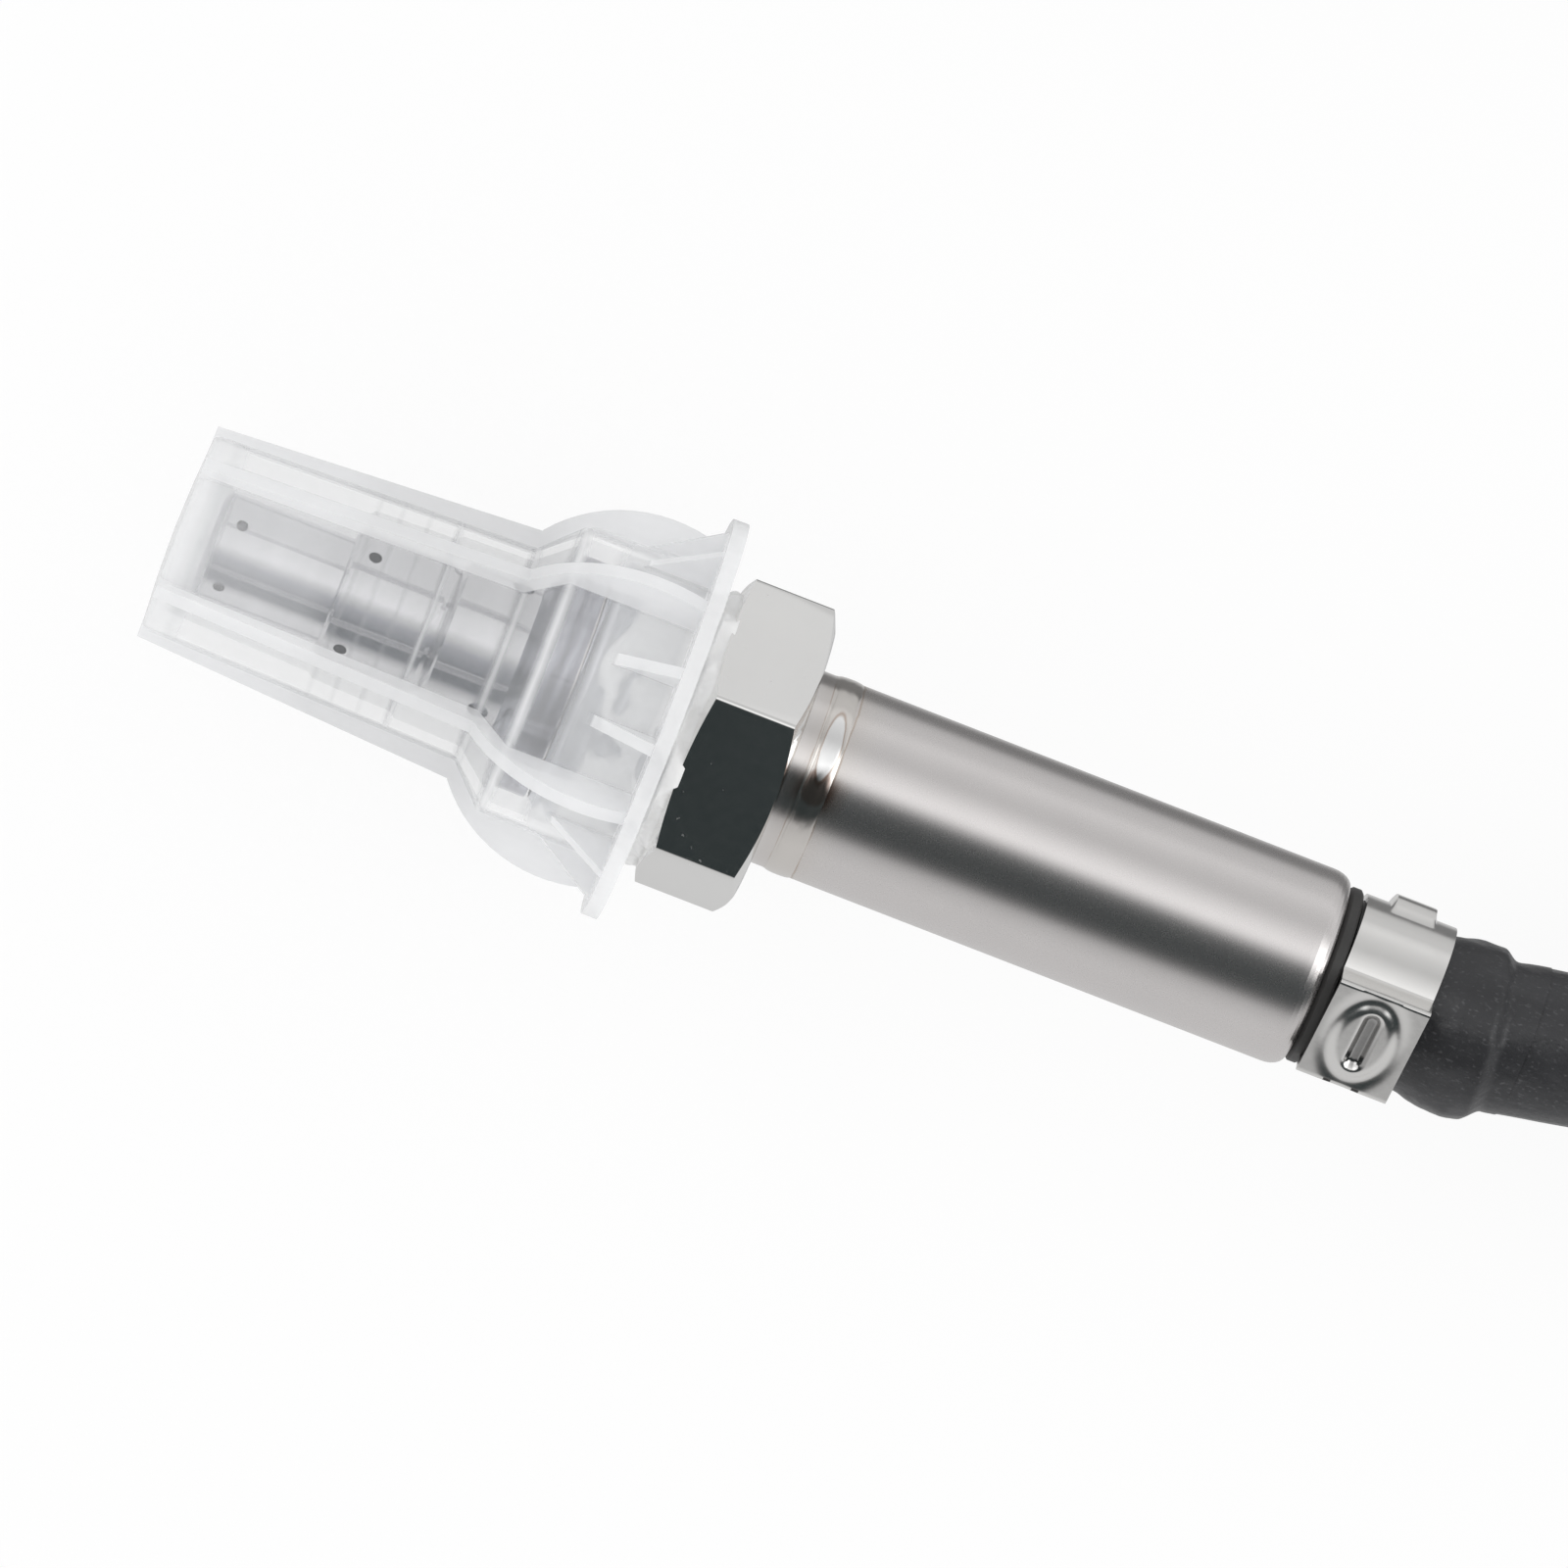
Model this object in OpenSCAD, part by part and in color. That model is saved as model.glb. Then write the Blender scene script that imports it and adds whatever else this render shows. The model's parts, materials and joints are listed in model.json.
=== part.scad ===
// Nitrogen oxide sensor: exhaust probe with its protective cap, cable and control unit.
// +X runs along the probe axis from the cap towards the cable, +Z is up.
// The origin is on the probe axis, on the front face of the hexagon of the swivel nut.
// The probe lies on the rim of the cap's flange and the control unit on its base plate.

/* [Protective cap] */
// Gap between the closed end and the tip of the probe
cap_tip_gap = 1.3; // [0.8:0.1:3]
// Gap between the cap's flange and the hexagon
cap_gap = 1.3; // [0.5:0.1:3]
// Outer radius of the flange
flange_r = 15.7; // [15.2:0.1:18]
// Thickness of the flange
flange_t = 1.2; // [0.8:0.1:2]
// Outer radius of the narrow tube at its closed end
cap_tip_r = 7.6; // [7.3:0.1:8]
// Outer radius of the narrow tube where it starts to flare
cap_root_r = 8.4; // [8.1:0.1:8.8]
// Length of the skirt in front of the collar
skirt_lead = 0.2; // [0:0.1:1]
// Gap all round between the skirt and the thread
skirt_play = 0.45; // [0.3:0.05:0.6]
// Gap all round between the skirt's grip and the thread
grip_play = 0.08; // [0.05:0.01:0.15]
// Length of the grip in the mouth of the skirt
grip_len = 1.6; // [1:0.1:3]
// Length of the flare between the narrow tube and the wide skirt
cap_flare_len = 3.3; // [2.5:0.1:4]
// Wall of the narrow tube and the skirt
cap_wall = 1.0; // [0.8:0.1:1.2]
// Wall of the thicker closed end
cap_tip_wall = 1.7; // [1.4:0.1:2]
// Length of the thicker closed end
cap_tip_len = 12.8; // [12:0.1:13.4]
// Place of the step inside the narrow tube, in front of the flare
cap_step_at = 5.8; // [4:0.1:8]
// Spacing of the fine ring marks in front of that step
ring_mark_step = 2.3; // [1.5:0.1:3]
// Depth of the fine ring marks
ring_mark_depth = 0.08; // [0.04:0.01:0.12]
// Depth of the steps inside the narrow tube
cap_step = 0.35; // [0.2:0.05:0.5]
// Thickness of the closed end
cap_end_t = 1.1; // [0.8:0.1:1.2]
// Number of ribs that grow into wings
rib_count = 5; // [3:1:6]
// Turn of the first rib from the top
rib_turn = -38; // [-72:1:72]
// Thickness of a rib
rib_t = 1.1; // [0.8:0.1:1.5]
// Height of a rib above the tube at the closed end
rib_low = 1.0; // [0.6:0.1:1.5]
// Height of a rib above the tube where it grows into a wing
rib_high = 1.8; // [1.2:0.1:2.2]
// Radius of a wing's rounded outline
wing_r = 11.4; // [11.2:0.1:11.8]
// Distance of the wing's centre from the probe axis
wing_off = 3.4; // [3:0.1:3.8]
// Distance of the wing's centre from the start of the flare
wing_lead = 9.1; // [8.8:0.1:9.4]
// Turn of the gussets away from each wing
gusset_turn = 24; // [18:1:30]
// Thickness of a gusset
gusset_t = 0.9; // [0.6:0.1:1.2]
// Length of a gusset along the skirt
gusset_len = 5.2; // [4:0.1:6.5]
// Height of a gusset at the flange
gusset_h = 3.2; // [2:0.1:3.6]

/* [Swivel nut] */
// Outer radius of the M20 thread
thread_r = 10; // [9.8:0.1:10.2]
// Length of the threaded shank in front of the hexagon
thread_len = 9.3; // [8:0.1:12]
// Chamfer at the front of the thread
thread_chamfer = 0.9; // [0.5:0.1:1.2]
// Width across the flats of the hexagon
hex_af = 22; // [21:0.5:24]
// Length of the hexagon
hex_len = 7.5; // [6:0.1:8]
// Turn of the hexagon's first corner from the top
hex_turn = -13; // [-30:1:30]
// Radius where the chamfer of the hexagon starts
hex_face_r = 10.7; // [10.3:0.1:10.9]
// Slope of the chamfer on the hexagon's front
hex_slope = 16; // [12:1:30]
// Slope of the chamfer on the hexagon's back
hex_back_slope = 22; // [12:1:30]
// Gap all round between the nut's bore and the probe's stem
nut_play = 0.3; // [0.2:0.05:0.4]
// Gap between the front of the nut and the collar
nut_end_play = 0.3; // [0.2:0.05:0.5]

/* [Probe housing] */
// Outer radius of the stem that passes through the nut
stem_r = 7.6; // [7.4:0.1:7.8]
// Length of the stem behind the hexagon
neck_len = 2.5; // [2:0.1:4]
// Outer radius of the collar that the nut presses on its seat
collar_r = 9.2; // [9:0.1:9.4]
// Length of the collar
collar_len = 2.2; // [1.8:0.1:3]
// Length of the cone in front of the collar
cone_len = 1.9; // [1.5:0.1:2.2]
// Length of the spigot that carries the protection tubes
spigot_len = 3.5; // [2.5:0.1:5]
// Radius of the bore that holds the ceramics
housing_bore_r = 5.4; // [5:0.1:5.8]
// Length of the narrowed bore at the front
housing_lip = 1.6; // [1:0.1:2]
// Width of the weld bead between the housing and the sleeve
weld_w = 1.7; // [1:0.1:2]
// Height of the weld bead above the stem
weld_h = 0.16; // [0.05:0.01:0.2]

/* [Protection tubes] */
// Outer radius of the outer tube's rear stretch
outer_tube_r = 5.65; // [5.4:0.05:5.9]
// Outer radius of the outer tube's front stretch
outer_nose_r = 5.15; // [5:0.05:5.3]
// Length of the outer tube
outer_tube_len = 14.4; // [13:0.1:16]
// Length of the outer tube's front stretch
outer_nose_len = 7.6; // [6:0.1:9]
// Length of the neck between the two stretches
outer_neck_len = 1.1; // [0.8:0.1:1.5]
// Outer radius of the inner tube
inner_tube_r = 4.15; // [4:0.05:4.3]
// Length of the inner tube in front of the outer one
inner_reach = 10.1; // [8:0.1:11]
// Wall of both tubes
tube_wall = 0.4; // [0.3:0.05:0.5]
// Radius of the rounded end of the inner tube
tube_round = 0.8; // [0.5:0.1:1]
// Number of gas holes in the inner tube
inner_holes = 5; // [3:1:8]
// Radius of the inner tube's gas holes
inner_hole_r = 0.45; // [0.3:0.05:0.6]
// Distance of the inner tube's gas holes from its tip
inner_hole_at = 1.9; // [1.6:0.1:3]
// Turn of the inner tube's first gas hole from the top
inner_hole_turn = -29; // [-90:1:90]
// Number of gas holes at the front of the outer tube
outer_holes = 4; // [3:1:8]
// Radius of the outer tube's gas holes
outer_hole_r = 0.5; // [0.3:0.05:0.7]
// Distance of the outer tube's gas holes from its front
outer_hole_at = 1.8; // [1.5:0.1:3]
// Turn of the outer tube's first gas hole from the top
outer_hole_turn = -41; // [-90:1:90]
// Number of outlet holes at the back of the outer tube
outlet_holes = 3; // [2:1:4]
// Radius of the outlet holes
outlet_hole_r = 0.8; // [0.5:0.05:1]
// Distance of the outlet holes from the cone
outlet_hole_at = 1.5; // [1.2:0.1:2]
// Turn of the first outlet hole from the top
outlet_turn = -68; // [-90:1:90]

/* [Ceramics] */
// Width of the sensing element
element_w = 4.2; // [4:0.1:4.6]
// Thickness of the sensing element
element_t = 1.9; // [1.5:0.1:2.2]
// Gap between the element's front and the end of the inner tube
element_gap = 3.2; // [2:0.1:5]
// Length of the sensing element
element_len = 66; // [60:1:68]
// Gap between the element and the slots that hold it
element_play = 0.1; // [0.05:0.05:0.2]
// Length of the front insulator
front_insulator_len = 8; // [6:0.5:9]
// Length of the talc packing
talc_len = 4; // [3:0.5:5]
// Length of the retaining ring
retainer_len = 1.2; // [0.8:0.1:2]

/* [Sleeve] */
// Outer radius of the sleeve
sleeve_r = 7.65; // [7.5:0.05:7.8]
// Wall of the sleeve
sleeve_wall = 0.5; // [0.4:0.05:0.6]
// Length of the sleeve's rounded back edge
sleeve_round = 1.5; // [1:0.1:1.8]
// Depth to which the back edge is rounded
sleeve_drop = 0.8; // [0.6:0.05:0.9]
// Radius of the opening in the back of the sleeve
sleeve_mouth_r = 6.6; // [6.4:0.1:6.8]

/* [Contacts and wires] */
// Length of the contact holder
holder_len = 14; // [12:0.5:16]
// Length of the contacts behind the front of the holder
contact_len = 15.5; // [14:0.5:17]
// Length of free wire between the contacts and the grommet
wire_room = 7.2; // [5:0.1:12]
// Number of wires
wire_count = 8; // [4:2:8]
// Radius of a wire
wire_r = 0.7; // [0.6:0.05:0.8]
// Radius of the circle on which the wires lie
wire_ring_r = 3.1; // [2.9:0.1:3.3]

/* [Grommet and clamp] */
// Length of the grommet inside the sleeve
grommet_len = 9; // [7:0.5:11]
// Thickness of the grommet's ring behind the sleeve
grommet_ring_t = 1.1; // [0.8:0.1:1.3]
// Radius of the grommet's ring
grommet_ring_r = 6.9; // [6.8:0.1:7.3]
// Radius of the grommet's nose inside the cable's cover
grommet_nose_r = 4.9; // [4.6:0.1:5]
// Length of the grommet's nose
grommet_nose_len = 8.6; // [8:0.1:10]
// Width of the clamp's band
band_w = 7.1; // [6:0.1:8]
// Outer radius of the clamp's band
band_r = 6.8; // [6.6:0.1:7]
// Thickness of the clamp's band
band_t = 0.6; // [0.5:0.05:0.7]
// Gap between the grommet's ring and the band
band_gap = 0.25; // [0.1:0.05:0.6]
// Height of the clamp's ear above the probe axis
ear_h = 8; // [7.8:0.1:8.4]
// Width of the clamp's ear around the band
ear_w = 8; // [7:0.1:8.6]
// Turn of the clamp's ear from the top
ear_turn = 28; // [0:1:60]
// Height of the oval ridge on the ear
ridge_h = 0.3; // [0.2:0.05:0.4]
// Radius of the ridge's round ends
ridge_r = 2; // [1.8:0.1:2.2]
// Depth of the slot pressed into the ridge
slot_depth = 0.5; // [0.3:0.05:0.6]
// Radius of the slot's round ends
slot_r = 0.8; // [0.5:0.1:1]
// Distance of the round ends of the ridge and the slot from the middle of the ear
slot_half = 1; // [0.6:0.1:1.4]
// Turn of the band's raised end from the top
tongue_turn = -90; // [-100:1:-80]
// Width of the band's raised end
tongue_w = 3.3; // [2.5:0.1:4.5]
// Height of the band's raised end above the band
tongue_h = 0.8; // [0.5:0.1:1]
// Angle that the band's raised end spans round the band
tongue_span = 26; // [16:1:40]

/* [Cable] */
// Radius of the cable with its cover
cable_r = 5.7; // [5.5:0.1:5.8]
// Radius of the swelling in the cover behind the clamp
swell_r = 6.7; // [6.3:0.1:6.9]
// Length of the swelling behind the clamp
swell_len = 6; // [5:0.1:7]
// Sides of the cable's tube
cable_sides = 12; // [8:1:12]

/* [Control unit] */
// Length of the housing along X
unit_l = 62; // [58:1:66]
// Width of the housing
unit_w = 60; // [56:1:70]
// Height of the whole unit
unit_h = 25; // [23:0.5:30]
// Place of the unit's middle along X
unit_x = 14; // [8:1:14]
// Place of the unit's middle along Y
unit_y = 131; // [129:1:133]
// Radius of the housing's upright corners
unit_corner = 6; // [4:0.5:8]
// Wall of the housing
unit_wall = 2; // [1.6:0.1:2.4]
// Number of stiffening ribs on top
top_ribs = 7; // [3:1:9]
// Height of the ribs on top
top_rib_h = 1.5; // [0.8:0.1:2]
// Width of a rib on top
top_rib_w = 1.8; // [1.2:0.1:2.4]
// Spacing of the ribs on top
top_rib_step = 6.5; // [5:0.1:7]
// Thickness of the base plate
base_t = 3; // [2.5:0.1:4]
// Distance between the two mounting holes
ear_spacing = 78; // [74:1:88]
// Radius of a mounting ear
mount_ear_r = 8; // [7:0.5:9]
// Thickness of a mounting ear
mount_ear_t = 8; // [6:0.5:10]
// Outer radius of a mounting bush
bush_r = 5; // [4.6:0.1:5.5]
// Radius of the bolt hole in a bush
bolt_hole_r = 3.25; // [2.7:0.05:3.4]
// Thickness of the seal
seal_t = 0.8; // [0.6:0.1:1.2]
// Width of the seal
seal_w = 1.6; // [1.2:0.1:1.6]
// Radius of a cover screw's thread
screw_r = 1.5; // [1.2:0.1:1.6]
// Radius of a cover screw's head
screw_head_r = 2.8; // [2.5:0.1:3]
// Length of a cover screw
screw_len = 10; // [8:0.5:12]
// Radius of a screw post inside the housing
post_r = 3.2; // [3:0.1:3.6]

/* [Circuit board] */
// Thickness of the circuit board
board_t = 1.6; // [1:0.2:2]
// Height of the board's underside above the base plate
board_lift = 4; // [3:0.5:5]
// Gap between the board and the housing
board_gap = 1.5; // [1:0.1:2]
// Length of the block that joins the wires to the board
joint_block_l = 6; // [5:0.5:7]
// Width of that block
joint_block_w = 16; // [12:0.5:18]
// Length of the wires between the block and the cable
joint_wire_l = 9; // [6:0.5:11]
// Side of the processor on the board
processor_w = 12; // [10:0.5:13]
// Side of the other chips on the board
chip_w = 6; // [5:0.5:7]
// Thickness of the chips
chip_t = 1.5; // [1:0.1:2]
// Radius of the capacitors
can_r = 2.5; // [2:0.1:3]
// Height of the capacitors
can_h = 6; // [4:0.5:7]

/* [Cable gland] */
// Length of the gland outside the housing
gland_len = 15; // [12:0.5:18]
// Radius of the gland at the housing
gland_root_r = 8.6; // [8.2:0.1:9]
// Radius of the gland at its outer end
gland_tip_r = 7; // [6.7:0.1:7.5]
// Gap all round between the gland and the cable
gland_play = 0.1; // [0.05:0.05:0.2]
// Radius of the gland where it passes through the wall
gland_neck_r = 7.4; // [7:0.1:7.8]
// Height of the cable above the bottom of the unit
gland_up = 14; // [14:0.1:14.5]

/* [Connector] */
// Outer width of the connector's shroud
shroud_w = 26; // [24:0.5:30]
// Outer height of the connector's shroud
shroud_h = 13; // [12:0.5:14]
// Depth of the connector's shroud
shroud_l = 17; // [15:0.5:20]
// Wall of the connector's shroud
shroud_wall = 1.6; // [1.4:0.1:2]
// Number of connector pins
pin_count = 5; // [2:1:6]
// Spacing of the connector pins
pin_step = 3.8; // [3:0.1:4]
// Length of a pin inside the shroud
pin_reach = 9; // [7:0.5:10]
// Width of a pin
pin_w = 1.5; // [1:0.1:1.6]
// Thickness of a pin
pin_t = 0.8; // [0.6:0.1:0.8]
// Height of the pins above the board
pin_up = 5; // [4:0.5:6]

/* [Hidden] */
$fn = 64;
// Overlap that keeps cuts and joined shapes from sharing a face
eps = 0.05;
// Gap between pieces that are pressed, welded or moulded together
snug = 0.02;

// Places along the probe axis
cap_back = -cap_gap;
flange_front = cap_back - flange_t;
nut_front = -thread_len;
collar_back = nut_front - nut_end_play;
collar_front = collar_back - collar_len;
cone_front = collar_front - cone_len;
spigot_front = cone_front - spigot_len;
outer_tube_front = cone_front - outer_tube_len;
inner_tube_front = outer_tube_front - inner_reach;
skirt_start = collar_front - skirt_lead;
flare_start = skirt_start - cap_flare_len;
cap_front = inner_tube_front - cap_tip_gap - cap_end_t;
cap_tube_len = flare_start - cap_front;
neck_back = hex_len + neck_len;
bead_front = neck_back - weld_w / 2;
bead_back = neck_back + weld_w / 2;
element_front = inner_tube_front + tube_wall + element_gap;
element_back = element_front + element_len;
holder_front = element_back - holder_len;
contact_front = holder_front + 1;
contact_back = contact_front + contact_len;
grommet_front = contact_back + wire_room;
sleeve_back = grommet_front + grommet_len;
ring_front = sleeve_back + eps;
ring_back = ring_front + grommet_ring_t;
band_front = ring_back + band_gap;
band_back = band_front + band_w;
cover_back = band_back + swell_len;

// Radii along the probe axis
skirt_bore_r = thread_r + skirt_play;
skirt_r = skirt_bore_r + cap_wall;
grip_r = thread_r + grip_play;
nut_bore_r = stem_r + nut_play;
spigot_r = outer_tube_r - tube_wall;
inner_tube_bore_r = inner_tube_r - tube_wall;
sleeve_bore_r = sleeve_r - sleeve_wall;
cover_bore_r = grommet_nose_r + 0.1;

// Places of the ceramics in the housing
ceramics_r = housing_bore_r - 0.1;
ceramics_front = cone_front + housing_lip;
talc_front = ceramics_front + front_insulator_len;
rear_front = talc_front + talc_len;
retainer_front = neck_back - retainer_len - weld_w;
holder_r = sleeve_bore_r - 0.3;
wires_back = cover_back - 0.5;
contact_w = 1.1;
contact_t = 0.4;

// Places in the control unit; its bottom is level with the rim of the cap's flange
floor_z = -flange_r;
housing_z = floor_z + base_t + seal_t;
unit_top = floor_z + unit_h;
roof_z = unit_top - top_rib_h;
unit_front = unit_x - unit_l / 2;
unit_back = unit_x + unit_l / 2;
board_z = floor_z + base_t + board_lift;
board_top = board_z + board_t;
board_l = unit_l - 2 * (unit_wall + board_gap);
board_w = unit_w - 2 * (unit_wall + board_gap);
cable_z = floor_z + gland_up;
// Depth of the screw heads below the face of the base plate
screw_sink = 0.1;
post_x = unit_l / 2 - unit_corner;
post_y = unit_w / 2 - unit_corner;
pins_z = board_top + pin_up;
shroud_front = unit_front - shroud_l;
joint_back = unit_back - unit_wall - 1 - joint_wire_l;

// Route of the cable's centre, from the cover's end to the inside of the control unit
cable_route = [
    [cover_back, 0.4, 0], [70, 1.4, 0], [79, 3, -1], [92, 5, -4], [106, 7, -8],
    [120, 10, -9.9], [135, 16, -9.9], [149, 25, -9.9], [160, 37, -9.9], [168, 52, -9.9],
    [171, 69, -9.9], [169, 86, -9.9], [162, 102, -9.9], [151, 115, -9.9],
    [136, 124, -9.9], [119, 129, -9.9], [103, 131, -9.7], [89, 131, -7.7], [76, 131, -4.4],
    [66, unit_y, cable_z - 0.4], [unit_back + gland_len + 1, unit_y, cable_z],
    [unit_back + gland_len / 2, unit_y, cable_z], [unit_back - unit_wall - 1, unit_y, cable_z]
];

// Points on an arc about a centre, from one angle to another
function arc(cx, cy, r, from, to, steps = 6) =
    [for (i = [0:steps]) let (a = from + (to - from) * i / steps) [cx + r * cos(a), cy + r * sin(a)]];

// Outline of a rectangle about its middle, with round corners
function round_box(l, w, r) = concat(
    arc(l / 2 - r, w / 2 - r, r, 0, 90), arc(-l / 2 + r, w / 2 - r, r, 90, 180),
    arc(-l / 2 + r, -w / 2 + r, r, 180, 270), arc(l / 2 - r, -w / 2 + r, r, 270, 360));

// Direction of the cable at one point of its route, and its ring of points there
function unit(v) = v / norm(v);
function heading(p, i) =
    i == 0 ? [1, 0, 0] : i == len(p) - 1 ? [-1, 0, 0] : unit(p[i + 1] - p[i - 1]);
function ring(centre, along, r, sides) =
    let (side = unit(cross([0, 0, 1], along)), up = cross(along, side))
    [for (k = [0:sides - 1]) let (a = 360 * k / sides - 90) centre + r * (cos(a) * side + sin(a) * up)];

// A tube that follows a route
module swept(route, r, sides) {
    rings = [for (i = [0:len(route) - 1]) ring(route[i], heading(route, i), r, sides)];
    points = [for (one = rings) for (p = one) p];
    last = len(route) - 1;
    walls = [for (i = [0:last - 1]) for (k = [0:sides - 1]) let (n = (k + 1) % sides)
        [i * sides + k, (i + 1) * sides + k, (i + 1) * sides + n, i * sides + n]];
    polyhedron(points, concat(
        walls, [[for (k = [0:sides - 1]) k]], [[for (k = [sides - 1:-1:0]) last * sides + k]]));
}

// A turned shape about the probe axis, from points of radius and place along X
module turned(points) rotate([0, 90, 0]) rotate_extrude() polygon(points);

// A plate standing on the top of the probe axis, from points of X and Z
module fin(points, t) rotate([90, 0, 0]) linear_extrude(t, center = true) polygon(points);

// A round rod along X
module rod(from, to, r, y = 0, z = 0)
    translate([from, y, z]) rotate([0, 90, 0]) cylinder(h = to - from, r = r);

// Copies round the probe axis
module around(count, turn) for (i = [0:count - 1]) rotate([turn + i * 360 / count, 0, 0]) children();

// Radius of the cap's narrow tube at a distance from the closed end
function tube_r(at) = cap_tip_r + (cap_root_r - cap_tip_r) * at / cap_tube_len;

// A fine groove round the inside of the narrow tube, at a distance from the closed end
function ring_mark(at) = let (r = tube_r(at) - cap_wall - cap_step)
    [for (step = [-1:1]) [r + (step == 0 ? ring_mark_depth : 0), cap_front + at + step * ring_mark_depth]];

module cap_rib() {
    wing_x = flare_start + wing_lead;
    wing_start = asin((flare_start - wing_x) / wing_r);
    wing_end = asin((flange_front - wing_x) / wing_r);
    fin(concat(
        [[cap_front, tube_r(0) - cap_wall / 2], [cap_front, tube_r(0) + rib_low],
            [flare_start, tube_r(cap_tube_len) + rib_high]],
        [for (p = arc(0, 0, wing_r, 90 - wing_start, 90 - wing_end, 14))
            [wing_x + p[0], wing_off + p[1]]],
        [[flange_front + eps, skirt_r - cap_wall / 2], [skirt_start, skirt_r - cap_wall / 2],
            [flare_start, tube_r(cap_tube_len) - cap_wall / 2]]), rib_t);
}

module cap_gusset() {
    fin([[flange_front - gusset_len, skirt_r - cap_wall / 2], [flange_front - gusset_len, skirt_r],
        [flange_front + eps, skirt_r + gusset_h], [flange_front + eps, skirt_r - cap_wall / 2]], gusset_t);
}

module protective_cap() {
    edge = 0.5;
    step_from_tip = cap_tube_len - cap_step_at;
    color([0.88, 0.89, 0.9]) difference() {
        union() {
            turned(concat(
                [[0, cap_front - 0.3], [cap_tip_r / 2, cap_front - 0.2]],
                arc(cap_tip_r - edge, cap_front + edge, edge, -90, 0, 4),
                [[cap_root_r, flare_start]],
                arc(skirt_r - 1.2, skirt_start + 0.6, 1.2, -40, 0, 4),
                [[skirt_r, flange_front], [flange_r, flange_front], [flange_r, cap_back], [0, cap_back]]));
            around(rib_count, rib_turn) cap_rib();
            around(rib_count, rib_turn + gusset_turn) cap_gusset();
            around(rib_count, rib_turn - gusset_turn) cap_gusset();
        }
        turned([[0, cap_front + cap_end_t],
            [tube_r(0) - cap_tip_wall, cap_front + cap_end_t],
            [tube_r(cap_tip_len) - cap_tip_wall, cap_front + cap_tip_len],
            [tube_r(cap_tip_len) - cap_wall - cap_step, cap_front + cap_tip_len + 0.4],
            for (marks = [2, 1]) each ring_mark(step_from_tip - marks * ring_mark_step),
            [tube_r(step_from_tip) - cap_wall - cap_step, cap_front + step_from_tip],
            [tube_r(step_from_tip) - cap_wall, cap_front + step_from_tip + 0.4],
            [cap_root_r - cap_wall, flare_start],
            [skirt_bore_r - 0.5, skirt_start - 0.2],
            [skirt_bore_r, skirt_start + 0.3],
            [skirt_bore_r, cap_back - grip_len - 0.4], [grip_r, cap_back - grip_len],
            [grip_r, cap_back + 1], [0, cap_back + 1]]);
    }
}

module swivel_nut() {
    corner_r = hex_af / 2 / cos(30);
    chamfer_r = corner_r + 0.5;
    front_l = (chamfer_r - hex_face_r) * tan(hex_slope);
    back_l = (chamfer_r - hex_face_r) * tan(hex_back_slope);
    // Groove behind the last turn of the thread
    relief = 0.9;
    bore_chamfer = 0.5;
    color([0.72, 0.72, 0.7]) difference() {
        union() {
            turned([[0, nut_front], [thread_r - thread_chamfer, nut_front],
                [thread_r, nut_front + thread_chamfer], [thread_r, -relief - 0.3],
                [thread_r - relief, -relief + 0.2], [thread_r - relief, eps], [0, eps]]);
            intersection() {
                rotate([hex_turn, 0, 0]) rotate([0, 90, 0]) cylinder(h = hex_len, r = corner_r, $fn = 6);
                turned([[0, 0], [hex_face_r, 0], [chamfer_r, front_l],
                    [chamfer_r, hex_len - back_l], [hex_face_r, hex_len], [0, hex_len]]);
            }
        }
        rod(nut_front - 1, hex_len + 1, nut_bore_r);
        turned([[0, hex_len - bore_chamfer], [nut_bore_r, hex_len - bore_chamfer],
            [nut_bore_r + bore_chamfer, hex_len], [nut_bore_r + bore_chamfer, hex_len + 1],
            [0, hex_len + 1]]);
    }
}

module probe_housing() {
    color([0.66, 0.66, 0.64]) difference() {
        turned([[0, spigot_front], [spigot_r, spigot_front], [spigot_r, cone_front],
            [outer_tube_r, cone_front], [collar_r, collar_front], [collar_r, collar_back],
            [stem_r, collar_back], [stem_r, bead_front], [stem_r - sleeve_wall, bead_front],
            [stem_r - sleeve_wall, neck_back + 1.5], [0, neck_back + 1.5]]);
        rod(spigot_front - 1, neck_back + 3, inner_tube_bore_r);
        rod(spigot_front - 1, cone_front, inner_tube_r + snug);
        rod(ceramics_front, neck_back + 3, housing_bore_r);
    }
}

module tube_holes(count, turn, at, r) {
    around(count, turn) translate([at, 0, 0]) cylinder(h = outer_tube_r + 1, r = r);
}

module outer_protection_tube() {
    neck_front = outer_tube_front + outer_nose_len;
    neck_end = neck_front + outer_neck_len;
    color([0.7, 0.68, 0.64]) difference() {
        turned(concat(
            [[inner_tube_r + snug, outer_tube_front]],
            arc(outer_nose_r - 0.6, outer_tube_front + 0.6, 0.6, -90, 0, 4),
            [[outer_nose_r, neck_front], [outer_nose_r - 0.25, neck_front + outer_neck_len / 2],
                [outer_tube_r, neck_end], [outer_tube_r, cone_front],
                [spigot_r + snug, cone_front], [spigot_r + snug, neck_end],
                [outer_nose_r - 0.25 - tube_wall, neck_front + outer_neck_len / 2],
                [outer_nose_r - tube_wall, neck_front],
                [outer_nose_r - tube_wall, outer_tube_front + tube_wall],
                [inner_tube_r + snug, outer_tube_front + tube_wall]]));
        tube_holes(outer_holes, outer_hole_turn, outer_tube_front + outer_hole_at, outer_hole_r);
        tube_holes(outlet_holes, outlet_turn, cone_front - outlet_hole_at, outlet_hole_r);
    }
}

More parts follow.
